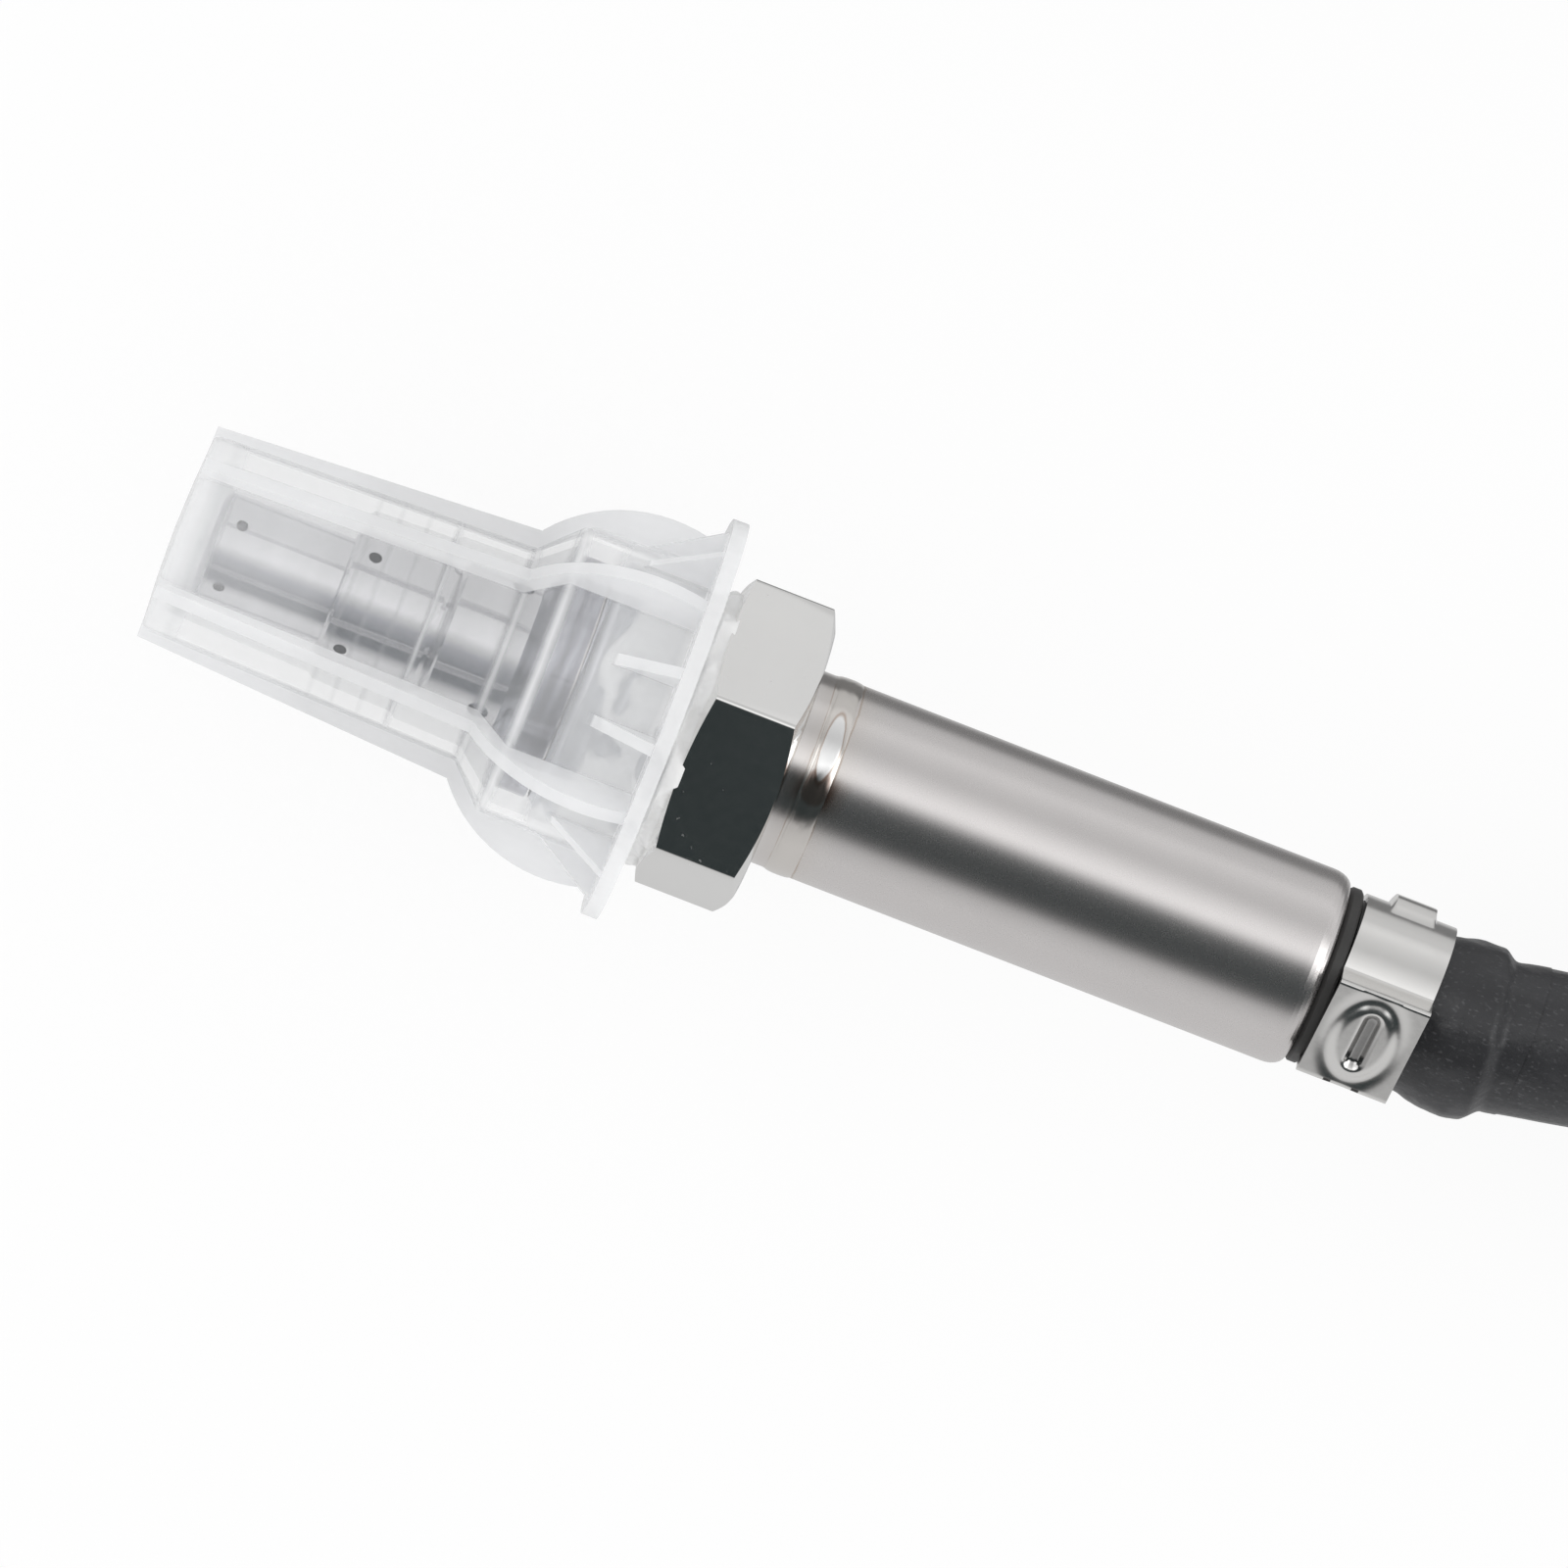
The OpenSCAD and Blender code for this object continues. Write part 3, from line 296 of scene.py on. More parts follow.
@dataclass(frozen=True)
class Finish:
    """A finish with fine marks, a mottled tone and an uneven gloss.

    Attributes:
        name: the material's name.
        colour: the main colour, linear.
        roughness: the middle roughness.
        metallic: 1 for bare metal.
        grain: which way the marks run.
        marks: fine marks per metre.
        relief: depth of the marks in millimetres.
        mottle: share by which the tone varies.
        uneven: share by which the roughness varies.
        creases: depth of soft lengthwise creases in millimetres, or 0.
    """

    name: str
    colour: Triple
    roughness: float
    metallic: float = 0.0
    grain: Grain = Grain.EVEN
    marks: float = 3000.0
    relief: float = 0.004
    mottle: float = 0.06
    uneven: float = 0.15
    creases: float = 0.0

    @cache
    def material(self) -> bpy.types.Material:
        """Builds the finish once.

        Returns:
            The material, ready for a piece.
        """
        nodes = Nodes(bpy.data.materials.new(self.name))
        fine = nodes.cloud([self.marks * share for share in self.grain.value], 6.0, 0.6)
        broad = nodes.cloud([self.marks * share * 0.08 for share in self.grain.value], 3.0)
        nodes.set(
            Base_Color=self.tone(nodes, nodes.spread(broad)),
            Metallic=self.metallic,
            Roughness=self.gloss(nodes, fine),
        )
        layers = [(fine, self.relief)]
        if self.creases:
            layers.append((nodes.cloud((260, 520, 520), 3.0), self.creases))
        nodes.relief(*layers)
        return nodes.owner

    def tone(self, nodes: Nodes, broad: Socket) -> Socket:
        """Returns the surface colour.

        Args:
            nodes: the material's nodes.
            broad: a broad noise pattern from 0 to 1.

        Returns:
            A mottle of two near tones.
        """
        dark = tuple(part * (1 - self.mottle) for part in self.colour)
        light = tuple(min(1.0, part * (1 + self.mottle)) for part in self.colour)
        return nodes.blend(broad, dark, light)

    def gloss(self, nodes: Nodes, fine: Socket) -> Socket:
        """Returns the surface roughness, a little uneven."""
        return nodes.spread(fine, self.roughness * (1 - self.uneven), self.roughness * (1 + self.uneven))


@dataclass(frozen=True)
class HeatTinted(Finish):
    """Steel with thin brown lines beside a weld, strongest where the weld ended, and a dull blued collar.

    Attributes:
        weld_at: place of the weld along X.
        reach: distance over which the tint fades.
        faint: the tint by share of that distance.
        strong: the same where the weld ended.
        weld_end: where the weld ended, as near_turn() takes it.
        collar_back: back of the blued collar along X.
        blued: the collar's two tones.
    """

    weld_at: float = 10.0
    reach: float = 3.4
    faint: Stops = (
        (0.0, 1.0), (0.27, (1.0, 0.99, 0.98)), (0.3, (0.74, 0.66, 0.58)), (0.34, (0.98, 0.97, 0.95)),
        (0.7, (1.0, 1.0, 0.99)), (1.0, 1.0))
    strong: Stops = (
        (0.0, (0.9, 0.87, 0.84)), (0.22, (0.8, 0.72, 0.66)), (0.29, (0.2, 0.11, 0.08)),
        (0.36, (0.36, 0.25, 0.2)), (0.5, (0.78, 0.71, 0.67)), (0.8, 1.0))
    weld_end: Four = (8.0, 7.7, 0.965, 0.998)
    collar_back: float = -9.5
    blued: tuple[Triple, Triple] = ((0.52, 0.55, 0.61), (0.26, 0.27, 0.31))

    def tone(self, nodes: Nodes, broad: Socket) -> Socket:
        """Returns the steel's tone with the tints on it.

        Args:
            nodes: the material's nodes.
            broad: a broad noise pattern from 0 to 1.

        Returns:
            The colour.
        """
        away = nodes.gap(nodes.along(0), self.weld_at * MM)
        wander = nodes.spread(nodes.cloud((150, 260, 260), 3.0), -0.15 * MM, 0.15 * MM)
        share = nodes.step(nodes.calc("ADD", away, wander), 0.0, self.reach)
        at_end = nodes.near_turn(*self.weld_end)
        tint = nodes.blend(at_end, nodes.ramp(share, self.faint), nodes.ramp(share, self.strong))
        streaks = nodes.remap(nodes.cloud((1700, 140, 140), 4.0, 0.6), 0.4, 0.62)
        behind = nodes.step(nodes.along(0), self.collar_back, self.collar_back + 0.1)
        collar = nodes.blend(behind, nodes.blend(streaks, *self.blued), WHITE)
        return nodes.times(nodes.times(super().tone(nodes, broad), tint), collar)


@dataclass(frozen=True)
class HandledPlate(Finish):
    """Bright plating with tiny dull specks and short scratches, duller on the thread.

    Attributes:
        thread: places along X at which the thread's dullness starts and is full.
        thread_rough: what the thread adds to the roughness.
        thread_colour: colour of the thread's plating.
    """

    thread: Pair = (-0.1, -0.6)
    thread_rough: float = 0.24
    thread_colour: Triple = (0.6, 0.615, 0.65)

    def gloss(self, nodes: Nodes, fine: Socket) -> Socket:
        """Returns a low roughness that rises on the thread and in specks and scratches.

        Args:
            nodes: the material's nodes.
            fine: a fine noise pattern from 0 to 1.

        Returns:
            The roughness.
        """
        specks = nodes.remap(nodes.cloud((1900, 1900, 1900), 1.0), 0.75, 0.8, 0.0, 0.35)
        scratches = nodes.remap(nodes.cloud((300, 5200, 5200), 2.0), 0.64, 0.76, 0.0, 0.09)
        thread = nodes.product(nodes.step(nodes.along(0), *self.thread), self.thread_rough)
        worn = nodes.calc("MAXIMUM", thread, nodes.calc("MAXIMUM", specks, scratches))
        return nodes.calc("ADD", super().gloss(nodes, fine), worn)

    def tone(self, nodes: Nodes, broad: Socket) -> Socket:
        """Returns the plating's tone, duller on the thread."""
        thread = nodes.step(nodes.along(0), *self.thread)
        return nodes.blend(thread, super().tone(nodes, broad), self.thread_colour)


@dataclass(frozen=True)
class PressedBand(Finish):
    """Clamp steel with painted shade inside the ear's slot and its two slits.

    Attributes:
        slot: place along X and turn of the slot's middle, its offset across and half its straight length.
        slits: places of the slits along X, before the clamp is set askew by the slope after them.
        slot_edge: distances from the slot's middle line at which its painted shade starts and is full.
        slit_edge: the same for the slits.
        ear_edge: heights at which the ear's face starts and is all there.
        bend: places along Y at which the ear's bend starts and is all there.
        tones: colours of the painted shade in the slot and in the slits.
    """

    slot: Four = (54.7, 29.5, -0.4, 1.75)
    slits: Triple = (53.62, 55.85, 0.05)
    slot_edge: Pair = (0.8, 0.45)
    slit_edge: Pair = (0.32, 0.26)
    ear_edge: Pair = (5.5, 5.6)
    bend: Pair = (-7.06, -7.12)
    tones: tuple[Triple, Triple] = ((0.42, 0.415, 0.41), (0.08, 0.078, 0.075))

    def tone(self, nodes: Nodes, broad: Socket) -> Socket:
        """Returns the steel's tone, with painted shade in the slot and the slits.

        Args:
            nodes: the material's nodes.
            broad: a broad noise pattern from 0 to 1.

        Returns:
            The colour.
        """
        along, turn, offset, half = self.slot
        x, y, z = (nodes.along(axis) for axis in range(3))
        down = nodes.product(y, -math.cos(math.radians(turn)))
        across = nodes.calc("SUBTRACT", down, nodes.product(z, math.sin(math.radians(turn))))
        across = nodes.calc("SUBTRACT", nodes.gap(across, offset * MM), half * MM)
        aside = nodes.calc("SUBTRACT", x, along * MM)
        reach = nodes.calc("SQRT", nodes.squares(nodes.calc("MAXIMUM", across, 0.0), aside), 0.0)
        # Painted shade: dark colours are laid into the ear's slot and the two slits, where these recesses lie in
        # shade.
        slot_shade = nodes.product(nodes.step(z, *self.ear_edge), nodes.step(reach, *self.slot_edge))
        straight = nodes.calc("SUBTRACT", x, nodes.product(y, self.slits[2]))
        reach = nodes.calc("MINIMUM", *(nodes.gap(straight, slit * MM) for slit in self.slits[:2]))
        slit = nodes.product(nodes.step(y, *self.bend), nodes.step(reach, *self.slit_edge))
        steel = nodes.blend(slot_shade, super().tone(nodes, broad), self.tones[0])
        return nodes.blend(slit, steel, self.tones[1])


@dataclass(frozen=True)
class LaserWeld(Finish):
    """A weld bead with a painted highlight: the pool where the weld ended is painted white.

    Attributes:
        pool: place along X and turn of the pool's middle.
        pool_half: half the pool's width in millimetres and half its length in degrees.
        ring: the tint by nearness to the pool's middle.
        burnt: the brown place past the pool's lower end, as near_turn() takes it.
    """

    pool: Pair = (10.0, -19.0)
    pool_half: Pair = (0.66, 21.0)
    ring: Stops = ((0.0, 1.0), (0.35, (0.7, 0.62, 0.57)), (0.6, 1.0))
    burnt: Four = (6.0, 7.7, 0.99, 0.9995)

    def tone(self, nodes: Nodes, broad: Socket) -> Socket:
        """Returns the bead's tone, with a painted highlight in white on the pool and brown round its lower end.

        Args:
            nodes: the material's nodes.
            broad: a broad noise pattern from 0 to 1.

        Returns:
            The colour.
        """
        tinted = nodes.blend(nodes.near_turn(*self.burnt), (1.0, 0.99, 0.975), (0.7, 0.58, 0.53))
        pool = self.in_pool(nodes)
        steel = nodes.times(nodes.times(super().tone(nodes, broad), tinted), nodes.ramp(pool, self.ring))
        # Painted highlight: the pool's middle is painted near white in place of the bright reflection on it.
        return nodes.blend(nodes.remap(pool, 0.5, 0.7), steel, (0.95, 0.95, 0.95))

    def in_pool(self, nodes: Nodes) -> Socket:
        """Returns 1 in the middle of the lens-shaped pool, 0.5 on its edge and 0 away from it.

        Args:
            nodes: the material's nodes.

        Returns:
            How far inside the pool a place is.
        """
        across = nodes.calc("DIVIDE", nodes.gap(nodes.along(0), self.pool[0] * MM), self.pool_half[0] * MM)
        turn = nodes.calc("SUBTRACT", nodes.turn(), math.radians(self.pool[1]))
        turn = nodes.calc("DIVIDE", turn, math.radians(self.pool_half[1]))
        wavy = nodes.spread(nodes.cloud((500, 500, 500), 2.0), -0.15, 0.15)
        return nodes.remap(nodes.calc("ADD", nodes.squares(across, turn), wavy), 0.6, 1.4, 1.0, 0.0)


@dataclass(frozen=True)
class CapPlastic(Finish):
    """Milky natural polyethylene that metal shows through, whiter where the plastic is deep, with painted shade
    along its length.

    Attributes:
        span: length in front of the hexagon that the places along X lie in.
        wall: outer radius of the cap's wall by place along X.
        haze: share of light that one surface holds back, by place along X.
        white: how white the milk is by place along X.
        deep: share that ribs, wings, flange and closed end hold back.
        deep_colour: colour of those.
        shade: painted shade, how bright the thin wall is painted by place along X, darkest between -27 and -15;
            what is deep follows it by half.
    """

    span: float = 42.0
    wall: Stops = ((-41.0, 7.7), (-15.3, 8.5), (-12.4, 11.5), (-2.6, 11.5), (-2.5, 9.0))
    haze: Stops = (
        (-40.6, 0.7), (-39.2, 0.5), (-37.5, 0.26), (-29.5, 0.23), (-27.9, 0.18), (-27.45, 0.18), (-27.3, 0.3),
        (-27.15, 0.17), (-25.65, 0.17), (-25.5, 0.3), (-25.35, 0.17), (-23.55, 0.17), (-23.4, 0.3), (-23.25, 0.17),
        (-21.4, 0.17), (-21.1, 0.5), (-20.8, 0.17), (-15.7, 0.17), (-15.2, 0.5), (-14.7, 0.22), (-12.9, 0.21),
        (-12.3, 0.62), (-11.7, 0.2), (-9.6, 0.18), (-8.4, 0.37), (-2.6, 0.44), (0.0, 0.42))
    white: Stops = ((-40.6, 0.6), (-30.0, 0.45), (-27.0, 0.05), (-13.0, 0.1), (-12.0, 0.85))
    deep: float = 0.66
    deep_colour: Triple = (0.95, 0.955, 0.965)
    shade: Stops = ((-41.0, 0.94), (-30.0, 0.88), (-27.0, 0.78), (-15.0, 0.78), (-12.5, 0.9), (-9.0, 1.0))

    @cache
    def material(self) -> bpy.types.Material:
        """Builds the milky plastic once.

        Returns:
            The material, ready for a piece.
        """
        nodes = Nodes(bpy.data.materials.new(self.name))
        flow = nodes.cloud((90, 260, 260), 4.0)
        fine = nodes.cloud((1500, 1500, 1500), 4.0)
        edge = nodes.calc("ADD", nodes.along(0), nodes.spread(flow, -0.03 * MM, 0.03 * MM))
        place = nodes.step(edge, -self.span, 0.0)
        wall, haze, white, shade = (
            nodes.ramp(place, [(1 + at / self.span, value) for at, value in stops])
            for stops in (self.wall, self.haze, self.white, self.shade))
        radius = nodes.calc("SQRT", nodes.squares(nodes.along(1), nodes.along(2)), 0.0)
        proud = nodes.calc("SUBTRACT", radius, nodes.product(wall, MM))
        held = nodes.calc("MAXIMUM", haze, nodes.product(nodes.step(proud, 0.0, 0.25), self.deep))
        whiter = nodes.calc("MAXIMUM", white, nodes.remap(held, 0.32, 0.5))
        # Painted shade: the thin wall's colour, and by half the deep plastic's colour, is darkened by place along
        # X.
        thin = nodes.times(self.tone(nodes, nodes.spread(flow)), shade)
        thick = nodes.times(self.deep_colour, nodes.remap(shade, 0.0, 1.0, 0.5, 1.0))
        nodes.set(
            Base_Color=nodes.blend(whiter, thin, thick),
            Alpha=nodes.product(held, nodes.spread(flow, 0.93, 1.07)),
            Roughness=self.gloss(nodes, fine), Specular_IOR_Level=0.15,
        )
        nodes.relief((flow, 0.01), (fine, self.relief))
        return nodes.owner


@dataclass(frozen=True)
class WrappedRubber(Finish):
    """Matte black cover with rubbed patches and pale dust."""

    def tone(self, nodes: Nodes, broad: Socket) -> Socket:
        """Returns the black with fine pale specks and rubbed patches.

        Args:
            nodes: the material's nodes.
            broad: a broad noise pattern from 0 to 1.

        Returns:
            The colour.
        """
        plain = super().tone(nodes, broad)
        specks = nodes.remap(nodes.cloud((2300, 4200, 4200), 1.0), 0.6, 0.78, 0.0, 0.2)
        rubbed = nodes.remap(nodes.cloud((160, 300, 300), 5.0, 0.7), 0.48, 0.78, 0.0, 0.32)
        shaded = nodes.remap(nodes.cloud((90, 150, 150), 3.0), 0.36, 0.6, 0.35, 0.0)
        worn = nodes.blend(shaded, nodes.blend(rubbed, plain, (0.09, 0.09, 0.096)), (0.016, 0.016, 0.018))
        return nodes.blend(specks, worn, (0.22, 0.22, 0.23))


STEEL = (0.785, 0.757, 0.75)

FINISHES: dict[str, Finish] = {
    "cap_plastic": CapPlastic("milky_polyethylene", (0.72, 0.73, 0.745), 0.2, mottle=0.02),
    "nut_steel": HandledPlate(
        "nickel_plated_nut", (0.89, 0.885, 0.875), 0.1, 1.0, Grain.EVEN, 1400, 0.002, 0.02, 0.3),
    "housing_steel": HeatTinted("turned_housing", STEEL, 0.2, 1.0, Grain.ROUND, 3000, 0.001),
    "tube_steel": Finish("drawn_protection_tube", (0.78, 0.78, 0.79), 0.11, 1.0, Grain.ROUND, 3600),
    "element_ceramic": Finish("fired_zirconia", (0.84, 0.82, 0.75), 0.45, relief=0.006),
    "insulator_ceramic": Finish("fired_alumina", (0.82, 0.79, 0.7), 0.5, relief=0.01),
    "talc": Finish("pressed_talc", (0.66, 0.67, 0.64), 0.85, marks=2200, relief=0.04, mottle=0.12),
    "weld_metal": LaserWeld("laser_weld", (0.77, 0.745, 0.725), 0.15, 1.0, Grain.ROUND, 1800, 0.004, 0.05, 0.3),
    "sleeve_steel": HeatTinted("satin_drawn_sleeve", STEEL, 0.27, 1.0, Grain.EVEN, 2600, 0.0001, 0.012, 0.03),
    "contact_metal": Finish("plated_contact", (0.85, 0.68, 0.32), 0.25, 1.0, Grain.LENGTHWISE, 4000, 0.003),
    "wire_plastic": Finish("wire_cover", (0.62, 0.6, 0.55), 0.4, relief=0.005),
    "grommet_rubber": Finish("moulded_grommet", (0.035, 0.034, 0.033), 0.5, marks=1600, relief=0.02, mottle=0.3),
    "clamp_steel": PressedBand(
        "rolled_clamp_band", (0.88, 0.87, 0.855), 0.17, 1.0, Grain.EVEN, 1300, 0.004, 0.03, 0.25),
    "cable_cover": WrappedRubber(
        "wrapped_cable_cover", (0.029, 0.0295, 0.0325), 0.36, marks=2600, relief=0.03, creases=0.12),
    "unit_plastic": Finish("moulded_unit", (0.026, 0.026, 0.028), 0.4, marks=1500, relief=0.03, mottle=0.15),
    "base_aluminium": Finish("pressed_base", (0.74, 0.75, 0.76), 0.34, 1.0, Grain.LENGTHWISE, 2600, 0.008),
    "seal_rubber": Finish("moulded_seal", (0.02, 0.02, 0.02), 0.6, marks=1800, relief=0.02),
    "screw_steel": Finish("plated_screw", (0.7, 0.7, 0.71), 0.25, 1.0, Grain.EVEN, 2500, 0.006),
    "bush_steel": Finish("turned_bush", (0.74, 0.74, 0.72), 0.24, 1.0, Grain.EVEN, 3000, 0.006),
    "board_laminate": Finish("lacquered_board", (0.02, 0.14, 0.06), 0.3, marks=1200, relief=0.01),
    "component_black": Finish("moulded_component", (0.025, 0.025, 0.028), 0.45, marks=2400, relief=0.01),
    "joint_plastic": Finish("joint_block", (0.62, 0.59, 0.5), 0.45, marks=1800, relief=0.02),
    "pin_metal": Finish("plated_pin", (0.86, 0.76, 0.48), 0.22, 1.0, Grain.LENGTHWISE, 4000, 0.003),
}

PASTE = Finish("thread_paste", (0.93, 0.93, 0.925), 0.5, marks=1500, relief=0.03, mottle=0.03)


def take_up(piece: Piece) -> None:
    """Makes a piece the only selected and active object.

    Args:
        piece: the piece.
    """
    bpy.ops.object.select_all(action="DESELECT")
    piece.select_set(True)
    bpy.context.view_layer.objects.active = piece


@contextmanager
def bench(piece: Piece, mode: str = "EDGE") -> Iterator[bmesh.types.BMesh]:
    """Opens a piece in edit mode with nothing selected, and closes it again.

    Args:
        piece: the piece to work on.
        mode: what is selected, VERT, EDGE or FACE.

    Yields:
        The open mesh, for selecting by place.
    """
    take_up(piece)
    bpy.ops.object.mode_set(mode="EDIT")
    bpy.ops.mesh.select_mode(type=mode)
    bpy.ops.mesh.select_all(action="DESELECT")
    yield bmesh.from_edit_mesh(piece.data)
    bpy.ops.object.mode_set(mode="OBJECT")


def settle(piece: Piece, name: str) -> Piece:
    """Names a piece and puts its place into its mesh.

    Args:
        piece: the piece.
        name: its name.

    Returns:
        The same piece.
    """
    piece.name = piece.data.name = name
    take_up(piece)
    bpy.ops.object.transform_apply(location=True, rotation=True, scale=True)
    return piece


def finish_with(piece: Piece, kind: str, **settings: Any) -> None:
    """Adds a modifier to a piece and applies it.

    Args:
        piece: the piece.
        kind: the modifier's type.
        settings: the modifier's properties.
    """
    take_up(piece)
    modifier = piece.modifiers.new(kind.lower(), kind)
    for key, value in settings.items():
        setattr(modifier, key, value)
    bpy.ops.object.modifier_apply(modifier=modifier.name)


def smooth(piece: Piece, degrees: float = 35.0) -> None:
    """Shades a piece smooth, with its sharper edges kept."""
    take_up(piece)
    bpy.ops.object.shade_smooth_by_angle(angle=math.radians(degrees))


def line_bore(piece: Piece, bore: float) -> None:
    """Closes an open tube with end faces and a straight bore.

    Args:
        piece: a tube that is open at both ends.
        bore: radius of the bore.
    """
    with bench(piece) as mesh:
        for edge in mesh.edges:
            edge.select_set(edge.is_boundary)
        bpy.ops.mesh.extrude_edges_move()
        for point in [one for one in mesh.verts if one.select]:
            reach = math.hypot(point.co.y, point.co.z) / (bore * MM)
            point.co.y, point.co.z = point.co.y / reach, point.co.z / reach
        bpy.ops.mesh.bridge_edge_loops()
        bpy.ops.mesh.select_all(action="SELECT")
        bpy.ops.mesh.normals_make_consistent(inside=False)


def worked_copy(node: str, name: str) -> Piece:
    """Copies a CAD node's mesh as one closed surface.

    Args:
        node: the CAD node.
        name: the copy's name.

    Returns:
        The copy, which rides on nothing yet.
    """
    piece = bpy.data.objects.new(name, bpy.data.objects[node].data.copy())
    bpy.context.scene.collection.objects.link(piece)
    take_up(piece)
    bpy.ops.mesh.customdata_custom_splitnormals_clear()
    with bench(piece, "VERT"):
        bpy.ops.mesh.select_all(action="SELECT")
        bpy.ops.mesh.remove_doubles(threshold=0.0005 * MM)
        bpy.ops.mesh.dissolve_limited(angle_limit=math.radians(0.3))
    return piece


def place(piece: Piece, body: Body, slot: str, *nodes: str, finish: Finish | None = None) -> None:
    """Dresses a finished piece and hands it to the frame.

    Args:
        piece: the finished piece.
        body: the body that it moves with.
        slot: the record's slot that it stands for.
        nodes: the CAD nodes that it replaces.
        finish: its finish, where that isn't the slot's own.
    """
    piece.data.materials.clear()
    piece.data.materials.append((finish or FINISHES[slot]).material())
    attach(piece, body.value)
    if nodes:
        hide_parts(*nodes)
    log.info("placed %s with %d faces", piece.name, len(piece.data.polygons))


def ease(value: float, low: float, high: float) -> float:
    """Returns 0 below low, 1 above high and a smooth step between."""
    share = min(1.0, max(0.0, (value - low) / (high - low)))
    return share * share * (3 - 2 * share)


def soft_least(first: float, second: float, reach: float) -> float:
    """Returns the smaller of two values, rounded where they are within reach of each other."""
    share = min(1.0, max(0.0, 0.5 + 0.5 * (second - first) / reach))
    return second + (first - second) * share - reach * share * (1 - share)


def lumps(x: float, turn: float, size: float, seed: float) -> float:
    """Returns soft noise on a cylinder, from -1 to 1, with lumps of a size and a pattern picked by a seed."""
    angle, radius = math.radians(turn), 8.0
    return noise.noise(Vector((x / size, radius * math.sin(angle) / size, radius * math.cos(angle) / size + seed)))


@dataclass
class Studio:
    """Camera, surroundings and floor.

    Attributes:
        target: point that the view is centred on.
        roll: turn of the probe's axis in the picture, downwards to the right.
        tip: lean of the view from straight down, towards the cap.
        distance: distance of the camera.
        width: width of the view at the target.
        floor_z: height of the floor.
        surround: brightness of the surroundings by turn about the probe's axis.
        through_cap: the same for metal behind the cap's plastic.
        end_glow: what is added towards both ends of the probe.
        card: brightness of the floor that metal reflects, by place along Y.
    """

    target: Triple = (8.1, -1.3, 0.0)
    roll: float = 21.2
    tip: float = 3.0
    distance: float = 1000.0
    width: float = 116.4
    floor_z: float = -15.7
    surround: Stops = (
        (-98, 0.62), (-80, 0.77), (-68, 0.66), (-58, 0.6), (-48, 0.54), (-38, 0.68), (-26, 0.86),
        (-14, 1.1), (-8, 0.86), (-2, 0.25), (4, (0.038, 0.045, 0.046)), (45, (0.026, 0.033, 0.034)), (53, 0.12),
        (60, 0.5), (72, 0.58), (90, 0.63), (180, 0.62))
    through_cap: Stops = (
        (-180, 0.9), (-90, 0.95), (-55, 0.95), (-30, 1.15), (-8, 1.25), (4, 0.8), (18, (0.34, 0.35, 0.39)),
        (45, (0.03, 0.04, 0.06)), (70, (0.03, 0.04, 0.06)), (84, 0.75), (180, 0.9))
    end_glow: Stops = ((-44, 0.0), (-30, 1.1), (2, 1.1), (12, 0.0))
    card: Stops = ((-10, 0.62), (12, 0.6), (18, 0.2), (34, 0.18), (44, 0.55), (100, 0.6))

    def camera(self) -> None:
        """Places the camera at the photograph's angle."""
        tip, roll = math.radians(self.tip), math.radians(self.roll)
        along = Vector((math.cos(tip), 0, math.sin(tip)))
        across = Vector((0, 1, 0))
        right = math.cos(roll) * along + math.sin(roll) * across
        upward = math.cos(roll) * across - math.sin(roll) * along
        back = right.cross(upward)
        data = bpy.data.cameras.new("camera")
        data.sensor_width = 36
        data.lens = data.sensor_width * self.distance / self.width
        data.clip_start, data.clip_end = 0.01, 20
        camera = bpy.data.objects.new("camera", data)
        bpy.context.scene.collection.objects.link(camera)
        spot = (Vector(self.target) + back * self.distance) * MM
        turn = Matrix((right, upward, back)).transposed().to_4x4()
        camera.matrix_world = Matrix.Translation(spot) @ turn
        bpy.context.scene.camera = camera

    def surroundings(self) -> None:
        """Lights the scene with soft panels round the probe's axis, white where the camera looks."""
        world = bpy.data.worlds.new("soft_panels")
        bpy.context.scene.world = world
        nodes = Nodes(world)
        place = nodes.remap(nodes.turn(), -math.pi, math.pi)
        open_air, behind, glow = (nodes.ramp(place, [(angle / 360 + 0.5, value) for angle, value in stops])
                                  for stops in (self.surround, self.through_cap, self.end_glow))
        passed = nodes.through_plastic()
        endwards = nodes.remap(nodes.calc("ABSOLUTE", nodes.along(0), 0.0), 0.3, 0.6, smooth=True)
        ends = nodes.blend(passed, nodes.times(endwards, glow), (0.0, 0.0, 0.0))
        panels = nodes.blend(1.0, nodes.blend(passed, open_air, behind), ends, "ADD")
        nodes.set(Color=nodes.blend(nodes.metal_ray(), WHITE, panels))

    def floor(self) -> None:
        """Lays a plain white floor that keeps a faint shadow, with a dark card beside the probe for metal."""
        bpy.ops.mesh.primitive_grid_add(size=6, x_subdivisions=4, y_subdivisions=4,
                                        location=(0, 0, self.floor_z * MM))
        sheet = settle(bpy.context.object, "floor")
        nodes = Nodes(bpy.data.materials.new("white_floor"))
        nodes.set(Base_Color=(0.95, 0.95, 0.95, 1), Roughness=0.7)
        metal = nodes.metal_ray()
        diffuse = nodes.add("LightPath").outputs["Is Diffuse Ray"]
        share = nodes.calc("MAXIMUM", metal, nodes.calc("SUBTRACT", 0.88, diffuse))
        stops = [(place * MM / 0.2 + 0.5, value) for place, value in self.card]
        card = nodes.ramp(nodes.remap(nodes.along(1), -0.1, 0.1), stops)
        card = nodes.blend(nodes.through_plastic(), card, (0.95, 0.95, 0.95))
        glow = nodes.add("Emission", {"Color": nodes.blend(metal, WHITE, card)}).outputs[0]
        mix = nodes.add("MixShader", {0: share, 1: nodes.surface.outputs[0], 2: glow}).outputs[0]
        nodes.feed(nodes.tree.get_output_node("ALL"), "Surface", mix)
        sheet.data.materials.append(nodes.owner)


